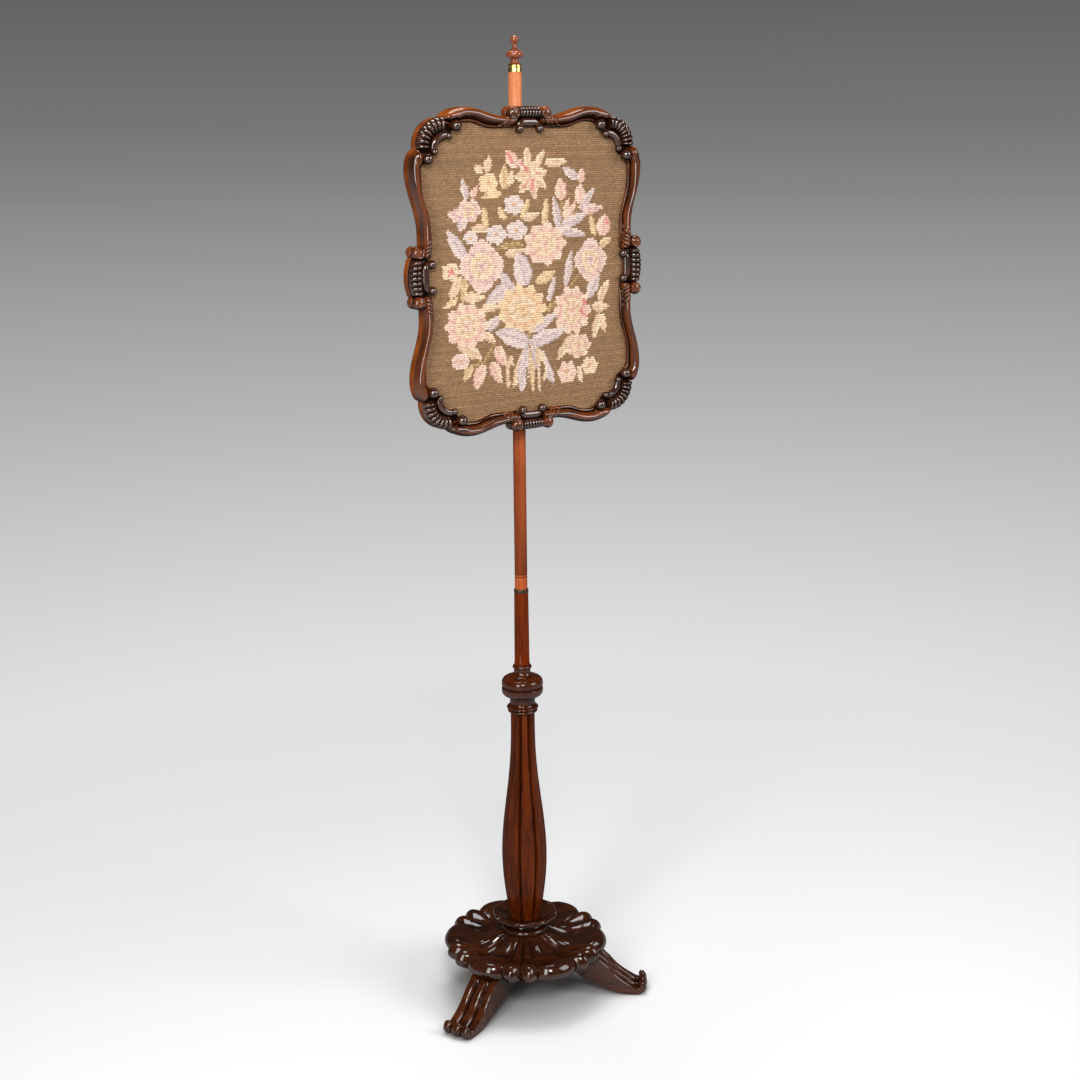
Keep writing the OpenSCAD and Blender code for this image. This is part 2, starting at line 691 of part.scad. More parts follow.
stile_end = 20 * carving;
stile_slope = 3 * carving;
module stile_ground() {
  half = side_scroll_v + ground_side;
  waist = side_s[4] - ground_drop;
  edge = crest_edge(side_crest_half, side_swell);
  end_u = half_w - side_step;
  linear_extrude(rebate_d) {
    polygon(concat(
      [[waist, half], [side_s[7], half], [side_s[7], -half], [waist, -half]],
      [[side_scroll_u, -side_scroll_v]],
      [for (e = edge) [side_scroll_u + e[1], e[0]]],
      [[side_scroll_u, side_scroll_v]]
    ));
    for (a = [0, 1]) mirror([0, a]) polygon([
      [corner_u + corner_in, corner_v - stile_end], [end_u - stile_slope, corner_v - stile_end],
      [end_u, corner_v], [corner_u + corner_in, corner_v]
    ]);
  }
}

module frame_cuts() {
  panel_slab(-cut, rebate_d, loose_fit);
  at_brads() brad(glue_fit);
  bracket_screw_holes();
}

module rail() {
  color(dark_wood) on_screen() difference() {
    union() {
      rail_moulding();
      mirror([1, 0, 0]) rail_moulding();
      rail_ground();
    }
    frame_cuts();
  }
}

module stile() {
  color(dark_wood) on_screen() difference() {
    union() {
      stile_moulding();
      mirror([0, 1, 0]) stile_moulding();
      stile_ground();
    }
    frame_cuts();
  }
}

// Turns a piece of the frame over, about its centre, to the other side
module other_way_up() translate([0, 0, 2 * screen_z]) mirror([0, 0, 1]) children();

module top_rail() rail();
module bottom_rail() other_way_up() rail();
module right_stile() stile();
module left_stile() mirror([1, 0, 0]) stile();

// Half-round band standing on the ground, as a section of width w and height h
function band_section(r, w, h) =
  concat([[r - w / 2, 0]], arc([r, h - w / 2], w / 2, w / 2, 180, 0, 6), [[r + w / 2, 0]]);

// Ribbed roll along a line of [place, outward, half width], closed flat on the ground
roll_steps = 7;
function roll_ring(place, out, half, h) = [
  for (i = [0 : roll_steps])
    let (a = 180 * i / roll_steps)
      concat(place + out * half * cos(a), rebate_d + h * sin(a))
];
roll_h = frame_t - rebate_d - 1.5;
rib_dip = 0.16;
function rib(i) = i % 2 == 0 ? 1 - rib_dip : 1;

corner_ribs = 8;
module corner() {
  from = 7;
  to = 83;
  tuck = 2;
  color(dark_wood) on_screen() translate([corner_u, corner_v, 0]) {
    loft([
      for (i = [0 : 2 * corner_ribs])
        let (a = mix(from, to, i / (2 * corner_ribs)), out = [cos(a), sin(a)])
          roll_ring(out * corner_rib_r, out, corner_rib_half * rib(i), roll_h * rib(i) * 0.9)
    ]);
    translate([0, 0, rebate_d]) {
      rotate([0, 0, -20]) rotate_extrude(angle = 130)
        polygon(band_section(corner_band_r, band_w, band_h));
      linear_extrude(plate_t) polygon(concat(
        arc([0, 0], corner_rib_r, corner_rib_r, from + tuck, to - tuck, 10),
        arc([0, 0], corner_band_r, corner_band_r, to - tuck, from + tuck, 6)
      ));
      for (a = [-29, 119]) rotate(a)
        translate([small_ball_at, 0, small_ball_r + ball_gap]) sphere(r = small_ball_r);
    }
  }
}

module corner_top_right() corner();
module corner_top_left() mirror([1, 0, 0]) corner();
module corner_bottom_right() other_way_up() corner();
module corner_bottom_left() mirror([1, 0, 0]) other_way_up() corner();

// Crest between two scrolls: ribbed roll, C-shaped band inside it and its two small balls
crest_ribs = 7;
band_rise = 8 * carving;
band_under = 3 * carving;
crest_inset = 9 * carving;
module crest(half_len, swell, ball_p) {
  band_p = ball_p - carving;
  band_q = crest_ball_q + band_under;
  band_r = (pow(band_p, 2) + pow(band_rise, 2)) / (2 * band_rise);
  band_a = asin(band_p / band_r);
  plate_half = half_len - carving;
  plate_top = crest_rib_half - carving;
  loft([
    for (i = [0 : 2 * crest_ribs])
      let (p = mix(half_len, -half_len, i / (2 * crest_ribs)))
        roll_ring([p, bow(p, half_len, swell)], [0, 1], crest_rib_half * rib(i), roll_h * rib(i))
  ]);
  translate([0, 0, rebate_d]) {
    translate([0, band_q + band_rise - band_r, 0]) rotate([0, 0, 90 - band_a])
      rotate_extrude(angle = 2 * band_a) polygon(band_section(band_r, band_w - 1, band_h - 1));
    linear_extrude(plate_t) polygon([
      [-plate_half, crest_ball_q + crest_inset], [plate_half, crest_ball_q + crest_inset],
      [plate_half, plate_top], [-plate_half, plate_top]
    ]);
    for (a = [-1, 1])
      translate([a * ball_p, crest_ball_q, crest_ball_r + ball_gap]) sphere(r = crest_ball_r);
  }
}

module top_crest() {
  color(dark_wood) on_screen() translate([0, top_scroll_v, 0])
    crest(top_crest_half, top_swell, top_ball_p);
}

module bottom_crest() other_way_up() top_crest();

module right_crest() {
  color(dark_wood) on_screen() translate([side_scroll_u, 0, 0]) rotate(-90)
    crest(side_crest_half, side_swell, side_ball_p);
}

module left_crest() mirror([1, 0, 0]) right_crest();

module needlework()
  color(wool_tone) on_screen() panel_slab(needlework_d, needlework_d + needlework_t, 0);
module canvas_board() color(board_tone) on_screen() panel_slab(canvas_d, needlework_d, 0);
module back_panel() color(back_tone) on_screen() panel_slab(back_panel_d, canvas_d, 0);
module panel_brads() color(iron_tone) on_screen() at_brads() brad(0);

// Brass plate on a rail's back with an eye round the pole, and a boss where it has a thumb screw
module bracket(boss) {
  color(brass_tone) on_screen() translate([0, bracket_v, 0]) difference() {
    union() {
      translate([-bracket_w / 2, -bracket_plate_h / 2, -bracket_plate_t])
        cube([bracket_w, bracket_plate_h, bracket_plate_t]);
      translate([-eye_r * 0.55, -eye_h / 2, -frame_back])
        cube([eye_r * 1.1, eye_h, frame_back - bracket_plate_t / 2]);
      at_eye(eye_h / 2) cylinder(r = eye_r, h = eye_h);
      if (boss) translate([0, 0, -frame_back]) rotate([180, 0, 0])
        cylinder(r = min(thumb_boss_r, eye_h / 2 - 0.2), h = eye_r + thumb_boss);
    }
    at_eye(eye_h / 2 + cut) cylinder(r = pole_r + run_fit, h = eye_h + 2 * cut);
    if (boss) translate([0, 0, -frame_back]) rotate([180, 0, 0])
      cylinder(r = thumb_r + run_fit, h = eye_r + thumb_boss + cut);
    for (a = [-1, 1]) translate([a * bracket_screw_u, 0, -bracket_plate_t - cut])
      cylinder(r = bracket_screw_r + glue_fit, h = bracket_plate_t + 2 * cut);
  }
}

// Puts a cylinder on the pole's axis, hanging down from a height above the bracket's middle
module at_eye(above) translate([0, above, -frame_back]) rotate([90, 0, 0]) children();

module upper_bracket() bracket(false);
module lower_bracket() other_way_up() bracket(true);

module bracket_screws() {
  head_r = 3.2;
  head_h = 1.8;
  color(brass_tone) on_screen() for (a = [-1, 1], b = [-1, 1])
    translate([a * bracket_screw_u, b * bracket_v, -bracket_plate_t]) {
      cylinder(r = bracket_screw_r, h = bracket_screw_len - glue_fit);
      rotate([180, 0, 0]) cylinder(r1 = head_r, r2 = head_r - 1.2, h = head_h);
    }
}

// Split brass collar that grips the pole and carries the lower eye
module height_collar() {
  color(brass_tone) translate([0, 0, collar_top - collar_h]) difference() {
    rotate_extrude() polygon([
      [pole_r + run_fit, 0], [collar_r - collar_edge, 0], [collar_r, collar_edge],
      [collar_r, collar_h - collar_edge], [collar_r - collar_edge, collar_h], [pole_r + run_fit, collar_h]
    ]);
    translate([-collar_split / 2, 0, -cut]) cube([collar_split, collar_r + cut, collar_h + 2 * cut]);
  }
}

// Wing screw in the lower eye, pointing at the pole from behind
module thumb_screw() {
  reach = eye_r + thumb_boss + thumb_neck;
  color(brass_tone) translate([0, 0, screen_z - bracket_v]) rotate([-90, 0, 0]) {
    translate([0, 0, thumb_tip]) cylinder(r = thumb_r, h = reach - thumb_tip);
    translate([0, 0, reach]) rotate([90, 0, 0]) {
      for (a = [-1, 1]) translate([a * thumb_wing * 0.5, thumb_wing * 0.55, -thumb_wing_t / 2])
        cylinder(r = thumb_wing * 0.62, h = thumb_wing_t);
      translate([0, 0, -thumb_r * 1.4]) cylinder(r = thumb_r * 1.3, h = thumb_r * 2.8);
    }
  }
}

base_dish();
leg_right();
leg_back();
leg_left();
leg_screws();
base_ring();
lotus_collar();
column();
column_knop();
lower_stem();
stem_ferrule();
pole();
pole_ferrule();
finial();
top_rail();
bottom_rail();
left_stile();
right_stile();
corner_top_left();
corner_top_right();
corner_bottom_left();
corner_bottom_right();
top_crest();
bottom_crest();
left_crest();
right_crest();
needlework();
canvas_board();
back_panel();
panel_brads();
upper_bracket();
lower_bracket();
bracket_screws();
height_collar();
thumb_screw();
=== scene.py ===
import math

import bpy
import numpy as np
from mathutils import Matrix, Vector


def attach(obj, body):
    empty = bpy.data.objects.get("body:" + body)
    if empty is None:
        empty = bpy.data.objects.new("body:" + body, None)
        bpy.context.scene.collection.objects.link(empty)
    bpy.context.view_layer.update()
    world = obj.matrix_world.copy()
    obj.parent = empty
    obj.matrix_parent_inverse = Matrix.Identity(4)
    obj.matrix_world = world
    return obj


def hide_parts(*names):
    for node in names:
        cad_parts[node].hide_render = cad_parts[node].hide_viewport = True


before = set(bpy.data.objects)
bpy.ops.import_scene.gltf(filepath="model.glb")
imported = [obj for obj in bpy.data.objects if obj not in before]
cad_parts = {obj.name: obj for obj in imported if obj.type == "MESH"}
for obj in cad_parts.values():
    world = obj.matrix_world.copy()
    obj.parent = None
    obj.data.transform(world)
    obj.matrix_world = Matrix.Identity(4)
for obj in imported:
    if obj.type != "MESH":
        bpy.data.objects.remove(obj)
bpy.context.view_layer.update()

MM = 0.001

# Carved frame, in millimetres on its face: u to the right, v up from its middle, d forward from its back
HALF_W, HALF_H = 187.0, 221.0
THICK, REBATE = 26.0, 12.5
FRAME_BACK, FRAME_MIDDLE = 17.0, 1104.0
CORNER_U, CORNER_V, CORNER_R = 135.5, 170.0, 37.5
BAND_U, BAND_V, BAND_R = 129.5, 165.5, 19.2
SCROLL_R = 8.5
RIB_HALF, RIB_LEDGE, RIB_STEPS, CREST_RIBS = 7.0, 1.2, 14, 7
TOP_CREST = dict(half=16.8, swell=0.5, ball=16.0)
SIDE_CREST = dict(half=24.0, swell=4.5, ball=17.5)
EYE_BALL_R, SMALL_BALL_R, CREST_BALL_R = 7.6, 4.8, 6.0
# Levels of the flat ground under the corners' and the crests' carvings
FAN_LEVEL, CREST_LEVEL = 13.3, 15.1

# An S-moulding: along it, its start, waist, bulge and tip; across it, its outer and inner edges there. Then where its
# lip rises, the ball that it winds round, its cover over the needlework, the needlework's edge behind the crest, the
# scroll beside the crest, how that winds, and where its leaf starts, with how many fingers. Places: along, across.
TOP_MOULDING = dict(
    upright=False, start=21.0, waist=38.0, bulge=100.0, tip=134.5, waist_out=208.6, bulge_out=220.5, tip_out=203.0,
    waist_in=193.0, bulge_in=201.0, rise=(60.0, 93.0), eye=(115.5, 196.5), cover=5.0, panel=198.0,
    scroll=(25.5, 212.5), wind=(-40, -1), leaf=(25.0, 3),
)
SIDE_MOULDING = dict(
    upright=True, start=25.5, waist=57.0, bulge=140.0, tip=166.5, waist_out=168.0, bulge_out=185.0, tip_out=171.5,
    waist_in=153.5, bulge_in=166.0, rise=(62.0, 122.0), eye=(154.5, 159.5), cover=2.5, panel=160.0,
    scroll=(33.0, 177.0), wind=(140, 1), leaf=(28.5, 4),
)

# Stand, in millimetres
BASE_TURN, LEG_FIRST = -6.5, -30.0
DISH_R, DISH_UNDER, DISH_H = 125.0, 64.0, 34.0
LEG_REACH, LEG_W = 191.0, 46.0
LOTUS_Z, LOTUS_R, LOTUS_H, LOTUS_SEAT = 116.0, 51.0, 11.0, 4.0
COLUMN_Z, COLUMN_H = 120.0, 331.0
KNOP_Z, STEM_Z, FERRULE_Z, POLE_Z = 451.0, 525.5, 636.0, 641.0
POLE_TOP, FINIAL_Z = 1370.0, 1381.05
POLE_R, PEG_R, PEG_HOLE_R = 9.2, 2.5, 2.7


# ---- Shaping helpers

def mix(a, b, t):
    return a + (b - a) * t


def ease(t):
    return (1 - np.cos(np.pi * np.clip(t, 0, 1))) / 2


def arc(centre, rx, rz, start, end, count):
    turn = np.radians(np.linspace(start, end, count))
    return [(centre[0] + rx * math.cos(a), centre[1] + rz * math.sin(a)) for a in turn]


def smooth_line(points, count):
    """Even points on a smooth line through the given ones, by their distance along it."""
    points = np.array(points, float)
    steps = np.linalg.norm(np.diff(points, axis=0), axis=1)
    along = np.concatenate([[0], np.cumsum(np.maximum(steps, 1e-6))])
    slope = np.gradient(points, along, axis=0)
    at = np.linspace(0, along[-1], count)
    k = np.clip(np.searchsorted(along, at, side="right") - 1, 0, len(along) - 2)
    width = (along[k + 1] - along[k])[:, None]
    t = ((at - along[k])[:, None]) / width
    return (
        (2 * t**3 - 3 * t**2 + 1) * points[k] + (t**3 - 2 * t**2 + t) * width * slope[k]
        + (3 * t**2 - 2 * t**3) * points[k + 1] + (t**3 - t**2) * width * slope[k + 1]
    )


def deselect():
    if bpy.context.mode != "OBJECT":
        bpy.ops.object.mode_set(mode="OBJECT")
    bpy.ops.object.select_all(action="DESELECT")


def take(*pieces):
    deselect()
    for piece in pieces:
        piece.select_set(True)
    bpy.context.view_layer.objects.active = pieces[0]


def edit(piece):
    """Opens a piece for editing, with all of it selected."""
    take(piece)
    bpy.ops.object.mode_set(mode="EDIT")
    bpy.ops.mesh.select_all(action="SELECT")


def named(name):
    """The piece that the last operator made, under its name."""
    piece = bpy.context.object
    piece.name = name
    return piece


def close_up(piece):
    """Merges the seams of a form and turns its faces outwards."""
    edit(piece)
    bpy.ops.mesh.remove_doubles(threshold=0.000004)
    bpy.ops.mesh.normals_make_consistent(inside=False)
    bpy.ops.object.mode_set(mode="OBJECT")
    return piece


def spots_of(piece):
    spots = np.empty(len(piece.data.vertices) * 3)
    piece.data.vertices.foreach_get("co", spots)
    return spots.reshape(-1, 3)


def set_spots(piece, spots):
    piece.data.vertices.foreach_set("co", np.ravel(spots))


def ring_form(name, rings):
    """A closed form through rings of points: a grid whose rows are the rings, drawn together at both ends."""
    rings = np.asarray(rings, float)
    ends = [np.broadcast_to(ring.mean(0), ring.shape)[None] for ring in (rings[0], rings[-1])]
    rings = np.concatenate([ends[0], rings, ends[1]])
    rows, points = rings.shape[:2]
    deselect()
    bpy.ops.mesh.primitive_grid_add(x_subdivisions=points, y_subdivisions=rows - 1, size=2)
    piece = named(name)
    point, row = np.rint((spots_of(piece)[:, :2] + 1) / 2 * (points, rows - 1)).astype(int).T
    set_spots(piece, rings[row, point % points] * MM)
    return close_up(piece)


def round_form(name, r, turn, z):
    """A closed form through rings round the pole's axis."""
    return ring_form(name, np.stack([r * np.cos(turn), r * np.sin(turn), z], -1))


def turned(name, foot, profile, bored=False):
    """A piece turned on the pole's axis: a disc drawn up along its profile of radius and height above its foot."""
    deselect()
    r, z = profile[0]
    bpy.ops.mesh.primitive_circle_add(vertices=72, radius=r * MM, fill_type="NGON", location=(0, 0, (foot + z) * MM))
    piece = named(name)
    edit(piece)
    for wider, higher in profile[1:]:
        bpy.ops.mesh.extrude_region_move(TRANSFORM_OT_translate={"value": (0, 0, (higher - z) * MM)})
        grow = wider / r
        bpy.ops.transform.resize(value=(grow, grow, 1), center_override=(0, 0, (foot + higher) * MM))
        r, z = wider, higher
    if bored:
        bpy.ops.mesh.select_face_by_sides(number=4, type="GREATER", extend=False)
        bpy.ops.mesh.bridge_edge_loops()
    bpy.ops.object.mode_set(mode="OBJECT")
    bpy.ops.object.transform_apply(location=True)
    return close_up(piece)


def on_frame(points):
    """Points of the frame's face (u, v, d) in the stand's axes."""
    points = np.asarray(points, float)
    return np.stack([points[..., 0], -FRAME_BACK - points[..., 2], FRAME_MIDDLE + points[..., 1]], -1)


def joined(name, parts):
    take(*parts)
    bpy.ops.object.join()
    piece = named(name)
    piece.data.name = name
    return piece


def reflected(piece, name, axis):
    """A copy with its own mesh, reflected across the frame's middle: axis 0 is left to right, 2 is top to bottom."""
    take(piece)
    bpy.ops.object.duplicate()
    copy = named(name)
    copy.data.name = name
    spots = spots_of(copy)
    middle = FRAME_MIDDLE * MM if axis == 2 else 0
    spots[:, axis] = 2 * middle - spots[:, axis]
    set_spots(copy, spots)
    edit(copy)
    bpy.ops.mesh.flip_normals()
    bpy.ops.object.mode_set(mode="OBJECT")
    return copy


def ball(name, centre, r):
    """Carved bead on the frame's face, drawn out a little to the front and back."""
    deselect()
    place = on_frame(centre) * MM
    bpy.ops.mesh.primitive_uv_sphere_add(segments=32, ring_count=20, radius=r * MM, location=place)
    piece = named(name)
    edit(piece)
    bpy.ops.transform.resize(value=(1, 1.08, 1), center_override=place)
    bpy.ops.object.mode_set(mode="OBJECT")
    bpy.ops.object.transform_apply(location=True)
    return piece


def roll_along(name, path, radii, tall=1.0, sides=16, flat=None):
    """A roll along a path on the frame's face, of changing radius; flat is the level that its back is cut to."""
    path, radii = np.asarray(path, float), np.asarray(radii, float)
    run = np.gradient(path[:, :2], axis=0)
    run /= np.linalg.norm(run, axis=1)[:, None]
    side = np.stack([run[:, 1], -run[:, 0]], 1)
    rings = np.empty((len(path), sides, 3))
    for i, a in enumerate(np.linspace(0, 2 * np.pi, sides, endpoint=False)):
        rings[:, i, :2] = path[:, :2] + side * (radii * math.cos(a))[:, None]
        rings[:, i, 2] = path[:, 2] + radii * tall * math.sin(a)
    if flat is not None:
        rings[..., 2] = np.maximum(rings[..., 2], flat)
    return ring_form(name, on_frame(rings))


# ---- Carved frame

def moulding_lip(s, t):
    """Inner edge of an S-moulding before it hooks round its ball."""
    low, high = s["rise"]
    return mix(s["waist_in"], s["bulge_in"], ease((t - low) / (high - low)))


def moulding_edges(s, t):
    """Outer and inner edge of an S-moulding at distances t along it."""
    eye_along, eye_across = s["eye"]
    hook, under = 13.0, eye_across - 1.5
    bulge = ease((t - s["waist"]) / (s["bulge"] - s["waist"]))
    nose = np.sqrt(np.maximum(0, 1 - ((t - s["bulge"]) / (s["tip"] - s["bulge"])) ** 2))
    rising, falling = mix(s["waist_out"], s["bulge_out"], bulge), mix(s["tip_out"], s["bulge_out"], nose)
    hooked = mix(s["bulge_in"], under, ease((t - eye_along + hook) / hook))
    inner = np.where(t <= eye_along - hook, moulding_lip(s, t), hooked)
    back = np.clip((t - eye_along) / (s["tip"] - eye_along), 0, 1) ** 1.6
    inner = np.where(t <= eye_along, inner, mix(under, s["tip_out"] - 0.5, back))
    return np.where(t <= s["bulge"], rising, falling), inner


def on_side(s, along, across, height):
    """Points along and across a side of the frame, as points of its face."""
    return np.stack([across, along, height] if s["upright"] else [along, across, height], -1)


def outline_on_side(s, outline):
    return [(across, along) for along, across in outline] if s["upright"] else outline


# Front of a moulding's section, from its outer edge inwards: share of its width, share of the frame's thickness
MOULDING_FRONT = np.array(
    [(0, 0), (0, 0.15), (0, 0.32), (0, 0.46)]
    + arc((0.37, 0.56), 0.37, 0.44, 178, 14, 32)
    + [(0.745, 0.6), (0.77, 0.565), (0.8, 0.565), (0.83, 0.6), (0.87, 0.625), (0.92, 0.615), (0.97, 0.575)]
    + [(1, 0.535), (1, 0.505)]
)


def moulding_swell(s, t):
    """Share of its full height that an S-moulding has at t: it comes up out of the leaf beside a crest."""
    return mix(0.8, 1, ease((t - s["start"]) / 24))


def moulding_height(s, t, across):
    """Height of an S-moulding's face at a place along and across it."""
    outer, inner = moulding_edges(s, t)
    share = (outer - across) / (outer - inner)
    return THICK * moulding_swell(s, t) * np.interp(share, MOULDING_FRONT[3:, 0], MOULDING_FRONT[3:, 1])


def moulding(name, s):
    """One S-moulding, from its waist beside a crest to its nose at a corner, which winds round a ball."""
    stations, nose, rebate_cut = 150, 11, 5.3
    t = s["tip"] - (s["tip"] - s["start"]) * (1 - np.linspace(0, 0.999, stations)) ** 1.8
    outer, inner = moulding_edges(s, t)
    across = outer[:, None] - MOULDING_FRONT[None, :, 0] * (outer - inner)[:, None]
    height = np.repeat(MOULDING_FRONT[None, :, 1] * THICK, stations, 0)
    # the nose rolls over at its end, and a socket goes round the ball
    last = np.clip((t - s["tip"] + nose) / nose, 0, 1)
    roll_over = mix(1, 0.66, 1 - np.sqrt(1 - last**2))
    raised = MOULDING_FRONT[:, 1] > 0.4
    height[:, raised] *= (roll_over * moulding_swell(s, t))[:, None]
    from_ball = np.hypot(across - s["eye"][1], t[:, None] - s["eye"][0])
    socket = REBATE + 1 + np.maximum(0, from_ball - EYE_BALL_R - 0.3) * 5
    height[:, raised] = np.minimum(height, np.maximum(socket, REBATE + 0.4))[:, raised]
    rebate_edge = np.clip(inner + rebate_cut, inner, outer - 1)
    back = np.stack([inner, rebate_edge, rebate_edge, 0.5 * (rebate_edge + outer)], 1)
    across = np.concatenate([across, back], 1)
    height = np.concatenate([height, np.repeat([[REBATE, REBATE, 0, 0]], stations, 0)], 1)
    along = np.repeat(t[:, None], across.shape[1], 1)
    return ring_form(name, on_frame(on_side(s, along, across, height)))


def scroll(name, s):
    """Scroll beside a crest: a barrel as deep as the frame, a groove, and a bulb with a roll that winds up on it."""
    [(u, v)], (turn, hand) = outline_on_side(s, [s["scroll"]]), s["wind"]
    bulb_d, bulb_r, bulb_h = 18.5, 8.9, 7.6
    section = [(SCROLL_R, 0.45), (SCROLL_R, 11.2), (SCROLL_R - 0.3, 11.9), (SCROLL_R - 1.2, 12.5)]
    section += arc((0, bulb_d), bulb_r, bulb_h, -36, 80, 14)
    around = np.linspace(0, 2 * np.pi, 56, endpoint=False)
    drum = [[(u + r * math.cos(a), v + r * math.sin(a), d) for a in around] for r, d in section]
    wind = np.linspace(0, 1, 60)
    angle = np.radians(turn + hand * mix(0, 330, wind))
    reach = mix(bulb_r - 1.3, 3.2, wind)
    lift = bulb_d + bulb_h * np.sqrt(1 - (reach / bulb_r) ** 2) - 0.2
    path = np.stack([u + reach * np.cos(angle), v + reach * np.sin(angle), lift], 1)
    return [ring_form(name + "_drum", on_frame(drum)), roll_along(name + "_roll", path, mix(2.2, 0.9, wind))]


def leaf(name, s):
    """A leaf that grows out of a scroll: bent fingers across the moulding, the last one longer."""
    start, fingers = s["leaf"]
    pitch, length, spread, longer = 4.8, 9.5, 5.4, 4
    parts = []
    f = np.linspace(0, 1, 24)
    for i in range(fingers):
        near, far = start + pitch * i, start + length + spread * i + (longer if i == fingers - 1 else 0)
        outer, inner = moulding_edges(s, np.array([near, far]))
        along, across = mix(near, far, f**1.6), mix(outer[0] - 1.2, inner[1] + 1.6, f)
        level = mix(moulding_height(s, along, across) + 1.2, 19.5, 0.4)
        radius = 3.0 * np.sin(np.pi * mix(0.2, 0.97, f)) ** 0.6
        parts.append(roll_along(f"{name}_{i}", on_side(s, along, across, level), radius, sides=12))
    return parts


def fan(name, angles, sections):
    """A form swept round a corner's centre, through a section of distances and levels at each angle."""
    rings = [
        [(CORNER_U + r * math.cos(a), CORNER_V + r * math.sin(a), d) for r, d in section]
        for a, section in zip(np.radians(angles), sections)
    ]
    return ring_form(name, on_frame(rings))


def ground_fan(name):
    """Ground behind a corner carving; its thin inner lip reaches over the needlework's edge, under the band."""
    share = np.linspace(-1, 1, 66)
    sections = [
        [(18.4, 0.15), (18.4, 12.4), (lip, 12.4), (lip + 0.3, FAN_LEVEL), (36.2, FAN_LEVEL), (37.1, 13.0),
         (CORNER_R, 12.2), (CORNER_R, 6), (CORNER_R, 0.15)]
        for lip in 10 + 6 * np.abs(share) ** 3
    ]
    return fan(name, 45 + 85 * share, sections)


def plate(name, outline, low, high, edge):
    """A flat plate of the given outline, extruded forward and bevelled."""
    deselect()
    bpy.ops.mesh.primitive_circle_add(vertices=len(outline), radius=1, fill_type="NGON")
    piece = named(name)
    set_spots(piece, on_frame([(u, v, low) for u, v in outline]) * MM)
    edit(piece)
    bpy.ops.mesh.extrude_region_move(TRANSFORM_OT_translate={"value": (0, (low - high) * MM, 0)})
    close_up(piece)
    bevel = piece.modifiers.new("edges", "BEVEL")
    bevel.width, bevel.segments = edge * MM, 3
    bpy.ops.object.modifier_apply(modifier=bevel.name)
    return piece


# Levels between which fillers stand in the rebate
FILLER_LOW, FILLER_HIGH = 3.0, 9.4


def filler(name, s):
    """Strip in the rebate behind a moulding's lip, between it and the panel's edge."""
    t = np.linspace(0, s["eye"][0] - 4, 40)
    inner = moulding_edges(s, t)[1]
    outline = [*zip(t, inner + 0.3), *zip(t[::-1], inner[::-1] + 8)]
    return plate(name, outline_on_side(s, outline), FILLER_LOW, FILLER_HIGH, 0.2)


def corner_filler(name):
    """Block in the rebate behind a corner carving, up to the panel's edge."""
    section = [(13, FILLER_LOW), (13, FILLER_HIGH), (36, FILLER_HIGH), (36, FILLER_LOW)]
    return fan(name, np.linspace(-60, 150, 60), [section] * 60)


def rib_wave(a, ribs):
    """Rounded ribs with sharp valleys between them: 1 on a rib's crown, 0 in a valley."""
    s = 2 * ((a * ribs) % 1) - 1
    return np.sqrt(np.maximum(0, 1 - s * s))


def ribbed_roll(name, place, ribs, half, height, dip=0.3, slant=0.0):
    """A roll of ribs: place(a) gives its middle line and outward direction for a from 0 to 1."""
    points = 22
    along = np.linspace(0, 1, ribs * RIB_STEPS + 1)
    rings = np.empty((len(along), points + 1, 3))
    middle, out = place(along)
    ends = np.sqrt(1 - np.clip((np.abs(2 * along - 1) - 0.9) / 0.1, 0, 0.995) ** 2)
    for j in range(points + 1):
        turn = math.pi * j / points
        swell = mix(1 - dip, 1, rib_wave(np.clip(along + slant * (j / points - 0.5), 0, 0.9999), ribs))
        rings[:, j, :2] = middle + out * (half * ends * mix(0.94, 1, swell) * math.cos(turn))[:, None]
        rings[:, j, 2] = REBATE + height * ends * swell * math.sin(turn) ** 0.7
    return ring_form(name, on_frame(rings))


def corner_carving(name):
    """Ribbed fan, band inside it with two small balls, and the balls that the mouldings wind round, top right."""
    ribs, rib_line, rib_half, rib_height = 8, 28.4, 9.2, 12.4
    band_level, ball_line = REBATE + 4.6, 18.4

    def place(a):
        angle = np.radians(mix(-7, 97, a))
        out = np.stack([np.cos(angle), np.sin(angle)], 1)
        return np.array([CORNER_U, CORNER_V]) + out * rib_line, out

    f = np.linspace(0, 1, 60)
    curl = np.abs(2 * f - 1) ** 4
    angle = np.radians(mix(-3, 98, f))
    path = np.stack([BAND_U + BAND_R * np.cos(angle), BAND_V + BAND_R * np.sin(angle), np.full(60, band_level)], 1)
    parts = [
        ribbed_roll(name + "_ribs", place, ribs, rib_half, rib_height, 0.46, 0.02),
        roll_along(name + "_band", path, mix(5.0, 3.4, curl), 0.85, 18, REBATE),
    ]
    for u, v in arc((BAND_U, BAND_V), ball_line, ball_line, -7, 102, 2):
        parts.append(ball(name + "_ball", (u, v, REBATE + SMALL_BALL_R + 1.2), SMALL_BALL_R))
    for u, v in (TOP_MOULDING["eye"], SIDE_MOULDING["eye"][::-1]):
        parts.append(ball(name + "_eye", (u, v, REBATE + EYE_BALL_R + 0.4), EYE_BALL_R))
    return joined(name, parts)


def crest_edge(crest):
    """Bowed outer edge of a crest's ledge: places along it and distances out from the line of its scrolls."""
    p = np.linspace(-crest["half"], crest["half"], 15)
    return list(zip(p, crest["swell"] * (1 - (p / crest["half"]) ** 2) + RIB_HALF + RIB_LEDGE))


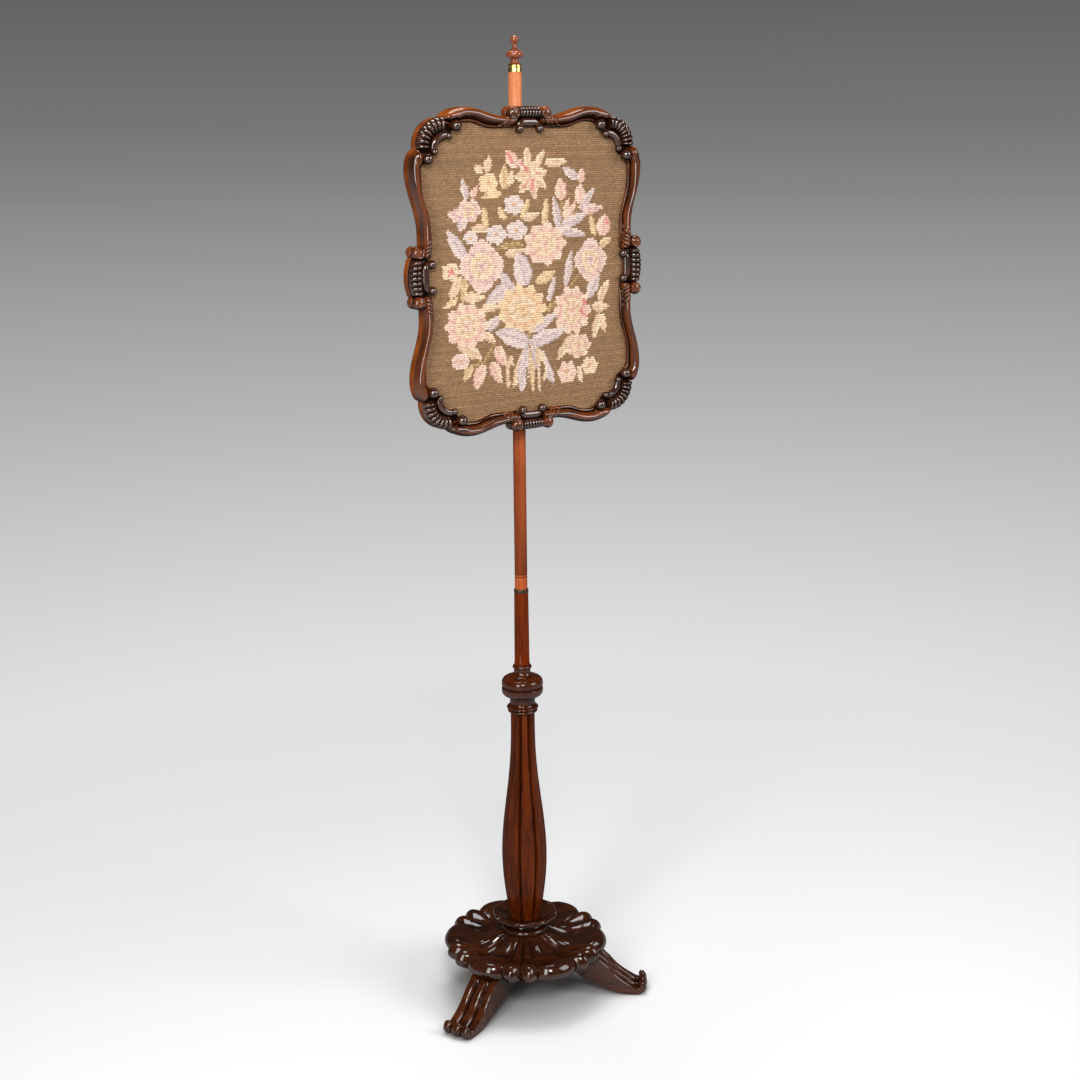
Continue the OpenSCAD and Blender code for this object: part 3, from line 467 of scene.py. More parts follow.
def crest_carving(name, s, crest):
    """Ribbed roll between two scrolls, a bowed band on its inner side and two balls."""
    half_len, swell, ball_p = crest["half"], crest["swell"], crest["ball"]
    upright, line = s["upright"], s["scroll"][1]
    rib_height, band_line, band_curl, ground_line, ball_line = 11.8, -12.4, 7.5, -13.0, -21.0

    def face(p, q):
        return np.stack([line + q, -p] if upright else [p, line + q], -1)

    def place(a):
        p = mix(-half_len, half_len, a)
        out = np.zeros((len(a), 2))
        out[:, 0 if upright else 1] = 1
        return face(p, swell / 2 * (1 - (p / half_len) ** 2)), out

    bow = swell / 2 * (1 - np.linspace(-1, 1, CREST_RIBS * RIB_STEPS + 1) ** 2)
    f = np.linspace(-1, 1, 50)
    band = face(f * (ball_p + 1.5), band_line - band_curl * np.abs(f) ** 5)
    path = np.column_stack([band, np.full(50, REBATE + 3.6)])
    end = half_len - 1
    ground = [face(p, q) for p, q in ((-end, ground_line), (end, ground_line), (end, 4.0), (-end, 4.0))]
    parts = [
        ribbed_roll(name + "_ribs", place, CREST_RIBS, RIB_HALF + bow, rib_height, 0.34, 0.03),
        roll_along(name + "_band", path, mix(5.6, 3.2, np.abs(f) ** 4), 0.75, 18, REBATE),
        plate(name + "_ground", ground, REBATE - 0.2, CREST_LEVEL, 0.6),
    ]
    for p in (-ball_p, ball_p):
        parts.append(ball(name + "_ball", (*face(p, ball_line), REBATE + CREST_BALL_R + 0.5), CREST_BALL_R))
    return joined(name, parts)


def frame_member(name, s, crest):
    """A rail or stile: a moulding with its scroll and leaf on each half, and a plate behind the crest between them."""
    along, across = s["scroll"]
    parts = [moulding(name + "_moulding", s), filler(name + "_filler", s), *scroll(name + "_scroll", s)]
    parts += leaf(name + "_leaf", s)
    if not s["upright"]:
        parts += [ground_fan(name + "_fan"), corner_filler(name + "_corner_filler")]
    half = joined(name + "_half", parts)
    other = reflected(half, name + "_other", 2 if s["upright"] else 0)
    inner, waist, end = s["panel"] + 0.3, s["waist_out"] - 2, along + 12
    outline = [(end, waist), (end, inner), (-end, inner), (-end, waist), (-along, across)]
    outline += [(p, across + q) for p, q in crest_edge(crest)] + [(along, across)]
    ledge = plate(name + "_plate", outline_on_side(s, outline), 0.3, REBATE, 0.8)
    return joined(name + "_carved", [half, other, ledge])


# ---- Stand

def base_dish():
    """Dish of six large and twelve narrow lobes, fluted from the turned ring to the rim."""
    crown = [
        (0.26, 1), (0.31, 0.97), (0.37, 0.86), (0.47, 0.7), (0.58, 0.63), (0.69, 0.675), (0.79, 0.78),
        (0.87, 0.84), (0.93, 0.78), (0.98, 0.6), (1, 0.41), (0.985, 0.22), (0.93, 0.06), (0.83, 0),
    ]
    depth, large, narrow = 11.0, 16.2, 6.9
    keys = np.arange(len(crown), dtype=float)
    groove = np.clip((keys + 1) / 3, 0, 1)
    groove[0] = groove[-1] = 0
    drop = np.where(keys < 8, 0.52, np.where(keys < 10, 0.4, np.where(keys < 11, 0.2, 0)))
    hollow = np.interp(keys, [2, 4, 6, 8], [0, 3.0, 2.4, 0])
    line = smooth_line([(r * DISH_R, z * DISH_H, k * 6) for (r, z), k in zip(crown, keys)], 96)
    key = line[:, 2] / 6
    share, height = line[:, 0] / DISH_R, line[:, 1]
    deep, fall, scoop = (np.interp(key, keys, values) for values in (groove, drop, hollow))
    turn, low, wide = [], [], []
    for k in range(6):
        for middle, half, count in ((0, large, 30), (large + narrow, narrow, 18), (large + 3 * narrow, narrow, 18)):
            s = -np.cos(np.pi * np.arange(count) / count)
            turn.append(k * 60 + middle + s * half)
            low.append(np.abs(s) ** (2.6 if half == large else 1.7))
            wide.append((1 - s * s) * (half == large))
    turn = np.radians(np.concatenate(turn) + BASE_TURN + LEG_FIRST)
    low, wide = np.concatenate(low), np.concatenate(wide)
    r = DISH_R * share[:, None] - low[None, :] * (deep * depth * share**4)[:, None]
    z = DISH_UNDER + height[:, None] - low[None, :] * (deep * depth * fall)[:, None] - wide[None, :] * scoop[:, None]
    return round_form("dish_carved", r, turn, z)


# Side view of a leg, root to toe: R and z of its top, then of its underside, as shares of its reach and of the
# height of the dish's underside
LEG_SIDES = np.array([
    (0.23, 1, 0.23, 0.62), (0.4, 1, 0.4, 0.578), (0.52, 1, 0.466, 0.43), (0.575, 0.96, 0.52, 0.355),
    (0.627, 0.84, 0.58, 0.265), (0.676, 0.7, 0.64, 0.18), (0.725, 0.53, 0.7, 0.105), (0.775, 0.395, 0.765, 0.04),
    (0.822, 0.295, 0.84, 0), (0.865, 0.211, 0.885, 0), (0.893, 0.165, 0.918, 0), (0.908, 0.168, 0.948, 0.008),
    (0.915, 0.19, 0.972, 0.05), (0.915, 0.225, 0.985, 0.12), (0.913, 0.26, 0.984, 0.2), (0.917, 0.295, 0.971, 0.275),
    (0.926, 0.318, 0.957, 0.312), (0.938, 0.328, 0.943, 0.328),
]) * (LEG_REACH, DISH_UNDER, LEG_REACH, DISH_UNDER)


def leg(name, turn):
    """A leg with three reeds that run down it and roll up in its toe, the middle one the largest."""
    count, reed_depth, toe_depth, toe_sink = 120, 6.5, 8.0, 7.5
    rows = smooth_line(LEG_SIDES, count)
    steps = np.concatenate([[0], np.cumsum(np.linalg.norm(np.diff(LEG_SIDES, axis=0), axis=1))])
    key = np.interp(np.linspace(0, steps[-1], count), steps, np.arange(len(LEG_SIDES)))
    across = np.linspace(0, 1, 61)
    half = [(0, 0.7), (0.03, 0.92), (0.1, 1), (0.19, 0.96), (0.23, 0.75), (0.262, 0.3), (0.305, 0), (0.348, 0.3),
            (0.38, 0.75), (0.42, 0.96), (0.5, 1)]
    reeds = np.interp(np.minimum(across, 1 - across), *zip(*half))
    rolls = np.zeros_like(across)
    for start, width, tall in ((0, 0.305, 0.86), (0.305, 0.39, 1), (0.695, 0.305, 0.86)):
        rolls = np.maximum(rolls, tall * np.sqrt(np.maximum(0, 1 - (2 * (across - start) / width - 1) ** 2)))
    top, under = rows[:, :2], rows[:, 2:]
    down = under - top
    thick = np.linalg.norm(down, axis=1)
    down /= thick[:, None]
    on_top = np.clip((key - 2) / 2, 0, 1)
    toe = ease((key - 9.5) / 2)
    # three reeds with hollow channels between them run down the leg; in the toe each is a roll of its own
    face = mix(reeds[None], rolls[None], toe[:, None])
    top_cut = (np.minimum(reed_depth, thick * mix(0.34, 0.46, toe)) * on_top)[:, None] * (1 - face)
    under_cut = (np.minimum(toe_depth, thick * 0.46) * toe)[:, None] * (1 - face)
    upper = top[:, None, :] + down[:, None, :] * top_cut[..., None]
    lower = under[:, None, :] - down[:, None, :] * under_cut[..., None]
    sink = (ease((key - 11.5) / 4.5) * toe_sink)[:, None] * (1 - face) ** 1.4
    upper[..., 1] -= sink
    lower[..., 1] -= sink
    outline = np.concatenate([upper, lower[:, ::-1]], 1)
    side = (np.concatenate([across, across[::-1]]) - 0.5) * LEG_W
    c, s = math.cos(math.radians(turn)), math.sin(math.radians(turn))
    r, w = outline[..., 0], np.repeat(side[None], count, 0)
    z = np.maximum(outline[..., 1], 0)
    return ring_form(name, np.stack([r * c - w * s, r * s + w * c, z], -1))


def lotus_collar():
    """Cup of eight petals: a section of radius, height and share of the petals' shape, swept round."""
    seat = LOTUS_SEAT / LOTUS_H
    rings = [
        (0.3, 0, 0), (0.56, 0, 0), (0.62, 0.08, 0.4), (0.8, 0.22, 0.8), (0.95, 0.42, 1), (1, 0.68, 1), (0.97, 0.93, 1),
        (0.9, 1, 1), (0.78, 0.78, 0.7), (0.62, 0.48, 0.3), (0.52, seat, 0), (0.3, seat, 0),
    ]
    line = smooth_line([(r * LOTUS_R, z * LOTUS_H, 8 * out) for r, z, out in rings], 48)
    s = -np.cos(np.pi * np.arange(18) / 18)
    pitch, crease = math.pi / 4, 0.07
    turn = np.concatenate([(k + 0.5 + s / 2) * pitch for k in range(8)])
    s = np.tile(s, 8)
    flat = math.cos(pitch / 2) / np.cos(s * pitch / 2)
    petal = mix(flat, 1, 0.3) - crease * np.exp(-(((1 - np.abs(s)) / crease) ** 2))
    r = line[:, :1] * mix(1, petal[None], line[:, 2:] / 8)
    z = LOTUS_Z + np.repeat(line[:, 1:2], len(turn), 1)
    return round_form("lotus_carved", r, turn, z)


def column():
    """Eight-sided baluster with a sharp groove between its faces."""
    belly, foot_r, belly_r, neck_r = 0.31, 24.0, 34.8, 18.4
    groove, groove_depth, arris = 2.8, 5.6, 0.7
    f = np.linspace(0, 1, 90)
    radius = np.where(
        f < belly,
        mix(foot_r, belly_r, np.sin(np.pi / 2 * f / belly)),
        mix(neck_r, belly_r, np.cos(np.pi / 2 * np.clip((f - belly) / (1 - belly), 0, 1)) ** 3),
    )
    half = math.pi / 8
    turn, reach = [], []
    edge = half - np.arcsin(groove / radius)
    steps = np.linspace(-1, 1, 13)
    for k in range(8):
        start = 2 * half * k
        for share, depth in ((-0.55, 0.8), (0, 1), (0.55, 0.8)):
            turn.append(start + share * (half - edge))
            reach.append(radius - depth * groove_depth)
        for s in steps:
            flat = radius * math.cos(half) / np.cos(s * edge)
            rounding = arris * np.clip((abs(s) - 0.86) / 0.14, 0, 1) ** 2
            turn.append(start + half + s * edge)
            reach.append(mix(flat, radius, 0.5) - rounding)
    turn, reach = np.array(turn).T, np.array(reach).T
    z = np.repeat((COLUMN_Z + f * COLUMN_H)[:, None], turn.shape[1], 1)
    return round_form("column_carved", reach, turn, z)


def turned_pieces():
    """The turned pieces, each with the node that it replaces."""
    stem, pole = FERRULE_Z - STEM_Z, POLE_TOP - POLE_Z
    yield "base_ring", turned("base_ring_turned", DISH_UNDER + DISH_H, [
        (15, 0), (32, 0), *arc((31.9, 4.1), 4.1, 4.1, -80, 80, 14), (31.4, 8.6), (30.6, 8.9),
        *arc((33, 13.5), 4.4, 4.4, 248, 112, 12), (31.2, 17.9), (15, 18),
    ])
    yield "column_knop", turned("knop_turned", KNOP_Z, [
        (9, 0), (18, 0), (18.6, 0.4), *arc((19.6, 3), 2.6, 2.3, -70, 75, 9), (20.6, 5.5),
        *arc((20.4, 8), 3.1, 2.3, -70, 60, 9), (20.7, 11), (19.4, 12.6), (18.7, 14.4), (18.6, 16), (18.6, 23),
        (19.2, 24.4), *arc((21.4, 34), 9.2, 8.6, -84, 0, 12), (30.6, 38), (29.9, 38.9), (29.1, 39.8), (29.1, 40.6),
        (29.9, 41.4), (30.6, 42.4), (30.6, 46), *arc((22.6, 46.6), 8, 8.4, 0, 62, 10),
        *arc((24.2, 64.6), 12, 9.6, 250, 184, 10), (12.2, 66), (12.4, 67.2), *arc((11.2, 70.4), 3, 3, -70, 76, 10),
        (11.3, 74), (6, 74.4),
    ])
    yield "lower_stem", turned("stem_turned", STEM_Z, [
        (6, 0), (11.1, 0), (11.5, 0.8), (11.5, 2.2), (11.1, 3), (10.9, 40), (10.6, 80), (10.4, stem - 1), (10.2, stem),
        (6, stem),
    ])
    yield "stem_ferrule", turned("stem_ferrule_turned", FERRULE_Z, [
        (6.2, 0), (10.3, 0), (10.8, 0.5), (10.8, 1.6), (10.5, 1.9), (10.5, 2.3), (10.8, 2.6), (10.8, 3.7), (10.4, 4.7),
        (9.9, 5), (6.2, 5),
    ])
    yield "pole", turned("pole_turned", POLE_Z, [
        (4, 0), (8.8, 0), (POLE_R, 0.6), (POLE_R, 18.6), (9.0, 19), (9.0, 19.5), (POLE_R, 19.9), (POLE_R, 22),
        (9.05, 22.3), (9.05, 22.7), (POLE_R, 23), (POLE_R, pole - 0.5), (8.9, pole), (PEG_HOLE_R, pole),
        (PEG_HOLE_R, pole - 16),
    ])
    yield "pole_ferrule", turned("pole_ferrule_turned", POLE_TOP, [
        (PEG_HOLE_R, 0.02), (9.5, 0.02), (9.6, 0.4), (9.5, 1.1), (9.2, 1.6), (9.2, 7.6),
        *arc((7.2, 8.4), 2, 2.6, 0, 88, 8), (PEG_HOLE_R, 11),
    ], bored=True)
    yield "finial", turned("finial_turned", FINIAL_Z, [
        (PEG_R - 0.4, -26), (PEG_R, -25.5), (PEG_R, 0), (6.6, 0), (6.9, 0.5), *arc((7, 3.4), 1.6, 2.6, 240, 170, 8),
        (5.3, 6), (6.3, 6.5), (6.5, 7.4), *arc((8.2, 12), 3.4, 4, -72, 62, 14),
        *arc((10.4, 22), 7.5, 5.4, 252, 184, 12), (2.8, 24), (3.2, 26.2), *arc((0, 31.5), 5.7, 5.7, -62, 86, 22),
    ])


# ---- Needlework

# Wools, in a light, a middle and a dark tone
PALETTE = {
    "cream": ((0.86, 0.68, 0.49), (0.80, 0.59, 0.41), (0.68, 0.46, 0.30)),
    "blush": ((0.87, 0.65, 0.52), (0.82, 0.54, 0.44), (0.72, 0.43, 0.35)),
    "lilac": ((0.80, 0.66, 0.62), (0.70, 0.57, 0.56), (0.56, 0.45, 0.46)),
    "straw": ((0.84, 0.64, 0.40), (0.74, 0.53, 0.31), (0.58, 0.40, 0.22)),
    "peach": ((0.87, 0.66, 0.43), (0.82, 0.56, 0.35), (0.72, 0.43, 0.25)),
    "gold": ((0.62, 0.43, 0.20), (0.52, 0.35, 0.15), (0.42, 0.28, 0.11)),
    "mauve": ((0.85, 0.64, 0.56), (0.77, 0.53, 0.48), (0.63, 0.41, 0.40)),
    "rose": ((0.78, 0.32, 0.27), (0.70, 0.26, 0.23), (0.62, 0.22, 0.20)),
}
# Leaves and petals: base u, v, tip u, v, width and wool, in the order they are worked
LEAVES = [
    (-41, 108, -73, 102, 9, "straw"), (-36, 111, -37, 145, 14, "straw"), (-28, 117, -24, 137, 8, "cream"),
    (-70, 135, -83, 144, 11, "cream"), (-64, 135, -60, 156, 11, "cream"), (29, 145, 64, 147, 13, "cream"),
    (-16, 141, -33, 163, 17, "blush"), (-96, 99, -102, 126, 11, "lilac"), (-88, 102, -80, 117, 9, "blush"),
    (-99, 76, -125, 82, 17, "mauve"), (-99, 75, -109, 60, 14, "lilac"), (-65, 62, -70, 89, 9, "straw"),
    (-65, 61, -90, 61, 12, "cream"), (-36, 71, -47, 90, 9, "straw"), (-10, 70, 3, 99, 10, "straw"),
    (-6, 71, 19, 77, 11, "cream"), (27, 62, 32, 98, 10, "straw"), (57, 95, 53, 125, 18, "blush"),
    (84, 123, 59, 138, 12, "lilac"), (88, 117, 91, 138, 11, "blush"), (88, 87, 88, 116, 19, "blush"),
    (87, 81, 112, 109, 12, "lilac"), (91, 79, 126, 83, 12, "mauve"), (61, 67, 68, 97, 10, "blush"),
    (64, 69, 80, 90, 10, "blush"), (56, 59, 98, 74, 14, "lilac"), (48, 54, 97, 46, 12, "lilac"),
    (52, 56, 43, 101, 12, "lilac"), (113, 44, 104, 75, 9, "straw"), (125, 43, 130, 73, 23, "blush"),
    (-100, 20, -127, 60, 18, "lilac"), (-50, 34, -8, 37, 8, "gold"), (-37, 24, -3, 29, 11, "cream"),
    (121, 29, 140, 40, 11, "straw"), (63, -25, 72, 27, 11, "lilac"), (-3, -20, -16, 26, 29, "lilac"),
    (-107, -2, -125, -30, 15, "cream"), (-113, -31, -136, -44, 8, "straw"), (-102, -3, -105, -36, 11, "straw"),
    (-104, -31, -70, -32, 14, "cream"), (-28, -16, -49, 1, 11, "lilac"), (-23, -17, -68, -40, 23, "lilac"),
    (101, -42, 120, -6, 17, "lilac"), (119, -50, 137, -18, 13, "cream"), (107, -56, 136, -57, 13, "cream"),
    (-76, -46, -46, -47, 11, "cream"), (-67, -77, -45, -58, 13, "lilac"), (6, -84, 48, -61, 15, "lilac"),
    (13, -17, 46, -2, 15, "straw"), (33, -43, 45, -9, 9, "lilac"), (29, -57, 49, -44, 7, "gold"),
    (75, -92, 47, -128, 13, "cream"), (84, -140, 89, -163, 8, "cream"), (120, -66, 110, -101, 13, "cream"),
    (124, -67, 130, -94, 9, "cream"), (-93, -123, -106, -144, 11, "straw"), (-75, -123, -87, -157, 18, "blush"),
    (-62, -122, -46, -152, 16, "blush"), (-55, -100, -38, -128, 17, "blush"), (-114, -91, -76, -116, 18, "cream"),
    (-71, -81, -54, -95, 11, "cream"),
]
# Round flowers: middle u, v, half width, half height, petals and wool
BLOOMS = [
    (-62, 120, 15, 14, 5, "peach"), (-93, 85, 18, 15, 6, "mauve"), (-51, 52, 16, 13, 5, "lilac"),
    (-18, 56, 16, 13, 5, "lilac"), (-22, 91, 15, 13, 5, "lilac"), (-91, 49, 11, 9, 4, "lilac"),
    (28, 36, 33, 28, 9, "blush"), (-74, 10, 32, 33, 4, "mauve"), (105, 10, 25, 29, 4, "mauve"),
    (-123, 5, 14, 12, 5, "cream"), (73, -59, 30, 32, 10, "blush"), (-99, -69, 33, 30, 10, "blush"),
    (-10, -52, 38, 33, 11, "peach"), (84, -110, 20, 17, 7, "blush"), (64, -146, 16, 15, 6, "blush"),
    (103, -140, 14, 12, 6, "cream"), (-110, -117, 14, 11, 5, "mauve"),
]
# Petals of the lily at the top, worked over the leaves
LILY = [
    (4, 132, -14, 151, 12, "blush"), (4, 132, -2, 168, 13, "cream"), (8, 132, 28, 162, 12, "cream"),
    (6, 130, 33, 133, 14, "cream"), (6, 130, 31, 112, 15, "cream"), (6, 130, -20, 128, 15, "cream"),
    (6, 130, -12, 106, 16, "cream"), (6, 132, 13, 97, 13, "blush"),
]
# Ribbon bow: wings and tails
BOW = [
    (1, -100, -53, -80, 24, "lilac"), (1, -100, 62, -85, 20, "lilac"), (0, -104, -26, -160, 18, "cream"),
    (-2, -104, -14, -168, 19, "lilac"), (3, -104, 6, -170, 9, "straw"), (6, -104, 17, -170, 11, "cream"),
    (6, -104, 42, -160, 20, "lilac"), (14, -108, 27, -154, 13, "cream"), (-30, -116, -35, -160, 12, "cream"),
]
# Thin stems, worked first: from u, v to u, v and width
STEMS = [
    (57, 95, 56, 60, 3), (88, 87, 62, 56, 3), (62, -24, 84, 12, 3), (72, -22, 92, -4, 3), (-57, -96, -72, -120, 4),
    (-72, -120, -98, -124, 3), (0, -86, 1, -100, 6),
]
# Small accents, worked last: from u, v to u, v
ACCENTS = [
    (-8, 146, 1, 135), (14, 133, 18, 131), (1, 120, -5, 113), (9, 124, 9, 111), (-30, 160, -24, 146),
    (-126, 7, -118, 3), (-122, 10, -125, 1), (92, -44, 97, -52), (88, -58, 90, -62), (94, -66, 98, -68),
    (132, 66, 134, 60),
]
# Ground that shows between the bow's tails: middle u, v, half width and half height
BOW_GAPS = [(-29, -140, 4, 12), (22, -138, 4, 12), (-4, -148, 2, 14), (12, -150, 2, 14)]
GROUND_WOOL = np.array((0.34, 0.19, 0.091))
STITCH, STITCH_LEVEL = 3.0, 11.0
# Wools with more blue than this are the pale ones, whose stitches are wider and flatter
PALE_BLUE = 0.18
# Leaves wider than these have a shaded side and a rib, and blooms wider than this have three rings of petals
SHADED_LEAF, RIBBED_LEAF, FULL_BLOOM = 8, 10, 17


def panel_outline():
    """Edge of the needlework, inside the frame's rebate."""
    top = np.linspace(0, TOP_MOULDING["eye"][0] - 14, 24)
    quarter = [(t, moulding_lip(TOP_MOULDING, t) + TOP_MOULDING["cover"]) for t in top]
    quarter += arc((CORNER_U, CORNER_V), 18, 18, 105, -15, 10)
    for t in np.linspace(SIDE_MOULDING["eye"][0] - 14, 0, 24):
        beside = moulding_lip(SIDE_MOULDING, t) + SIDE_MOULDING["cover"]
        quarter.append((beside if t > 24 else SIDE_MOULDING["panel"], t))
    half = quarter + [(u, -v) for u, v in quarter[-2::-1]]
    return half + [(-u, v) for u, v in half[-2:0:-1]]


def inside(outline, u, v):
    found = np.zeros(len(u), bool)
    for (u0, v0), (u1, v1) in zip(outline, outline[1:] + outline[:1]):
        crosses = (v0 > v) != (v1 > v)
        found ^= crosses & (u < u0 + (v - v0) / (v1 - v0 if v1 != v0 else 1e-9) * (u1 - u0))
    return found


def stitch_colours(u, v, rng):
    """Wool of each stitch: the ground in worked rows, then the bouquet, leaf by leaf and flower by flower."""
    row = np.rint(v / STITCH).astype(int)
    streak = 1 + 0.10 * np.sin(row * 1.7) * np.sin(row * 0.37 + 1) + 0.05 * rng.standard_normal(400)[row + 200]
    colour = GROUND_WOOL[None] * (streak * (1 + 0.10 * rng.standard_normal(len(u))))[:, None]

    def work(where, wool, tone):
        tones = np.array(PALETTE[wool])
        pick = np.clip(np.rint(tone + 0.35 * rng.standard_normal(len(u))), 0, 2).astype(int)
        colour[where] = (tones[pick] * (0.94 + 0.033 * rng.standard_normal(len(u)))[:, None])[where]

    def blade(u0, v0, u1, v1, width, wool):
        run = np.array([u1 - u0, v1 - v0], float)
        length = np.hypot(*run)
        run /= length
        along = ((u - u0) * run[0] + (v - v0) * run[1]) / length
        across = -(u - u0) * run[1] + (v - v0) * run[0]
        half = width / 2 * np.sin(np.pi * np.clip(along, 0, 1) ** 0.8) ** 0.7 + 0.6
        rib = (np.abs(across) < 1.2) & (along < 0.8) & (width > RIBBED_LEAF)
        work((along > -0.02) & (along < 1.02) & (np.abs(across) < half), wool,
             np.where(rib | ((across < 2.4 - half) & (width > SHADED_LEAF)), 1.9, 0.3 + 0.5 * (across < 0)))

    def bloom(u0, v0, wide, tall, petals, wool):
        x, y = (u - u0) / wide, (v - v0) / tall
        r, turn = np.hypot(x, y), np.arctan2(y, x)
        edge = 1 + 0.09 * np.cos(petals * turn)
        if wide > FULL_BLOOM:
            outer, heart = (0.58, 9, petals, 0, wool), (0, 0.26, 3, 0.3, wool)
            middle = (0.26, 0.58, max(petals - 3, 3), 0.9, "cream")
            for low, high, count, shift, thread in (outer, middle, heart):
                seam = np.abs(np.cos((turn + shift) * count / 2)) * 2 / count * r * wide < 1.7
                base = np.clip(1 - (r - low) / (min(high, 1.05) - low), 0, 1)
                work((r < edge) & (r >= low) & (r < high), thread, -0.1 + 1.5 * base**1.4 + 1.3 * seam)
        else:
            work(r < edge, wool, 0.1 + 1.1 * (np.abs(np.cos(petals * turn / 2)) < 0.35))
            work(r < 0.22, "peach", np.full(len(u), 2.0))

    def line(u0, v0, u1, v1, width, wool):
        run = np.array([u1 - u0, v1 - v0], float)
        along = np.clip(((u - u0) * run[0] + (v - v0) * run[1]) / (run @ run), 0, 1)
        work(np.hypot(u - u0 - along * run[0], v - v0 - along * run[1]) < width / 2, wool, np.full(len(u), 0.8))

    for entry in STEMS:
        line(*entry, "gold")
    for entry in LEAVES:
        blade(*entry)
    for entry in BLOOMS:
        bloom(*entry)
    for entry in LILY + BOW:
        blade(*entry)
    for u0, v0, wide, tall in BOW_GAPS:
        gap = ((u - u0) / wide) ** 2 + ((v - v0) / tall) ** 2 < 1
        colour[gap] = GROUND_WOOL * 0.95
    for entry in ACCENTS:
        line(*entry, 4, "rose")
    return colour


def stitches():
    """Slanting wool stitches in level rows, each a small closed grain with its own colour."""
    rng = np.random.default_rng(7)
    cols, rows = int(HALF_W / STITCH), int(HALF_H / STITCH)
    grid_u, grid_v = np.meshgrid(np.arange(-cols, cols + 1) * STITCH, np.arange(-rows, rows + 1) * STITCH)
    u, v = grid_u.ravel(), grid_v.ravel()
    u = u + STITCH / 2 * (np.rint(v / STITCH) % 2)
    keep = inside([(a * 0.993, b * 0.993) for a, b in panel_outline()], u, v)
    u, v = u[keep], v[keep]
    count = len(u)
    colour = stitch_colours(u, v, rng)
    pale = colour[:, 2] > PALE_BLUE
    slant = np.radians(15 + 4 * rng.standard_normal(count))
    grain = np.array([
        (-1, 0, 0), (-0.5, -1, 0), (0.5, -1, 0), (1, 0, 0), (0.5, 1, 0), (-0.5, 1, 0), (-0.48, 0, 1), (0.48, 0, 1),
    ])
    long = STITCH * 0.76 * (1 + 0.05 * rng.standard_normal(count))
    wide = STITCH * np.where(pale, 0.545, 0.42) * (1 + 0.06 * rng.standard_normal(count))
    tall = np.where(pale, 0.9, 1) * (1 + 0.10 * rng.standard_normal(count))
    su = u + 0.05 * STITCH * rng.standard_normal(count)
    sv = v + 0.03 * STITCH * rng.standard_normal(count)
    x = grain[None, :, 0] * long[:, None]
    y = grain[None, :, 1] * wide[:, None]
    c, s = np.cos(slant)[:, None], np.sin(slant)[:, None]
    level = STITCH_LEVEL + grain[None, :, 2] * tall[:, None]
    points = np.stack([su[:, None] + x * c - y * s, sv[:, None] + x * s + y * c, level], -1)
    sides = ((0, 1, 6), (1, 2, 7, 6), (2, 3, 7), (3, 4, 7), (4, 5, 6, 7), (5, 0, 6), (5, 4, 3, 2, 1, 0))
    faces = [tuple(8 * k + corner for corner in side) for k in range(count) for side in sides]
    mesh = bpy.data.meshes.new("needlework_stitches")
    mesh.from_pydata((on_frame(points).reshape(-1, 3) * MM).tolist(), [], faces)
    wool = mesh.color_attributes.new("wool", "FLOAT_COLOR", "POINT")
    shade = np.ones((count * 8, 4))
    shade[:, :3] = np.repeat(np.clip(colour, 0.01, 1), 8, 0)
    # painted shade: each grain's foot is darkened, less on the pale wools, so dark lines show between stitches and rows
    rim = np.tile(grain[:, 2] < 0.5, count)
    shade[:, :3] *= np.where(rim, np.where(np.repeat(pale, 8), 0.94, 0.68), 1)[:, None]
    wool.data.foreach_set("color", shade.ravel())
    piece = bpy.data.objects.new("needlework_stitches", mesh)
    bpy.context.scene.collection.objects.link(piece)
    return piece


# ---- Materials

def feed(tree, source, place):
    """Gives an input a plain value, or what a socket or a node's first output says."""
    if isinstance(source, bpy.types.Node):
        source = source.outputs[0]
    if isinstance(source, bpy.types.NodeSocket):
        tree.links.new(source, place)
    else:
        place.default_value = source


def add(tree, kind, *sources, **values):
    """A shader node: its first inputs in order, and further inputs and settings by name."""
    made = tree.nodes.new("ShaderNode" + kind)
    for key, value in values.items():
        if key in made.inputs:
            feed(tree, value, made.inputs[key])
        else:
            setattr(made, key, value)
    for source, place in zip(sources, made.inputs):
        feed(tree, source, place)
    return made


def maths(tree, operation, *sources):
    return add(tree, "Math", *sources, operation=operation)


def blend(tree, share, first, second, how="MIX"):
    """Colour between two others; the colour inputs of a mix node are its seventh and eighth."""
    made = add(tree, "Mix", share, data_type="RGBA", blend_type=how)
    feed(tree, first, made.inputs[6])
    feed(tree, second, made.inputs[7])
    return made.outputs[2]


def ramp(tree, source, *stops):
    """Colours or greys by a value, from stops of value and tone."""
    made = add(tree, "ValToRGB", source)
    elements = made.color_ramp.elements
    while len(elements) < len(stops):
        elements.new(0.5)
    for element, (at, tone) in zip(elements, stops):
        element.position = at
        element.color = (*tone, 1) if isinstance(tone, tuple) else (tone, tone, tone, 1)
    return made


def noise(tree, place, scale, detail, **values):
    return add(tree, "TexNoise", place, Scale=scale, Detail=detail, **values)


def bump(tree, height, strength, distance):
    return add(tree, "Bump", Strength=strength, Distance=distance, Height=height)


def shader(name):
    """A material, its tree and the place that its textures are drawn by."""
    material = bpy.data.materials.new(name)
    material.use_nodes = True
    tree = material.node_tree
    return material, tree, add(tree, "TexCoord").outputs["Object"]


def surface(tree, **inputs):
    """Gives a material's surface its inputs, named with _ for a space."""
    shown = tree.nodes["Principled BSDF"]
    for title, source in inputs.items():
        feed(tree, source, shown.inputs[title.replace("_", " ")])
    return shown


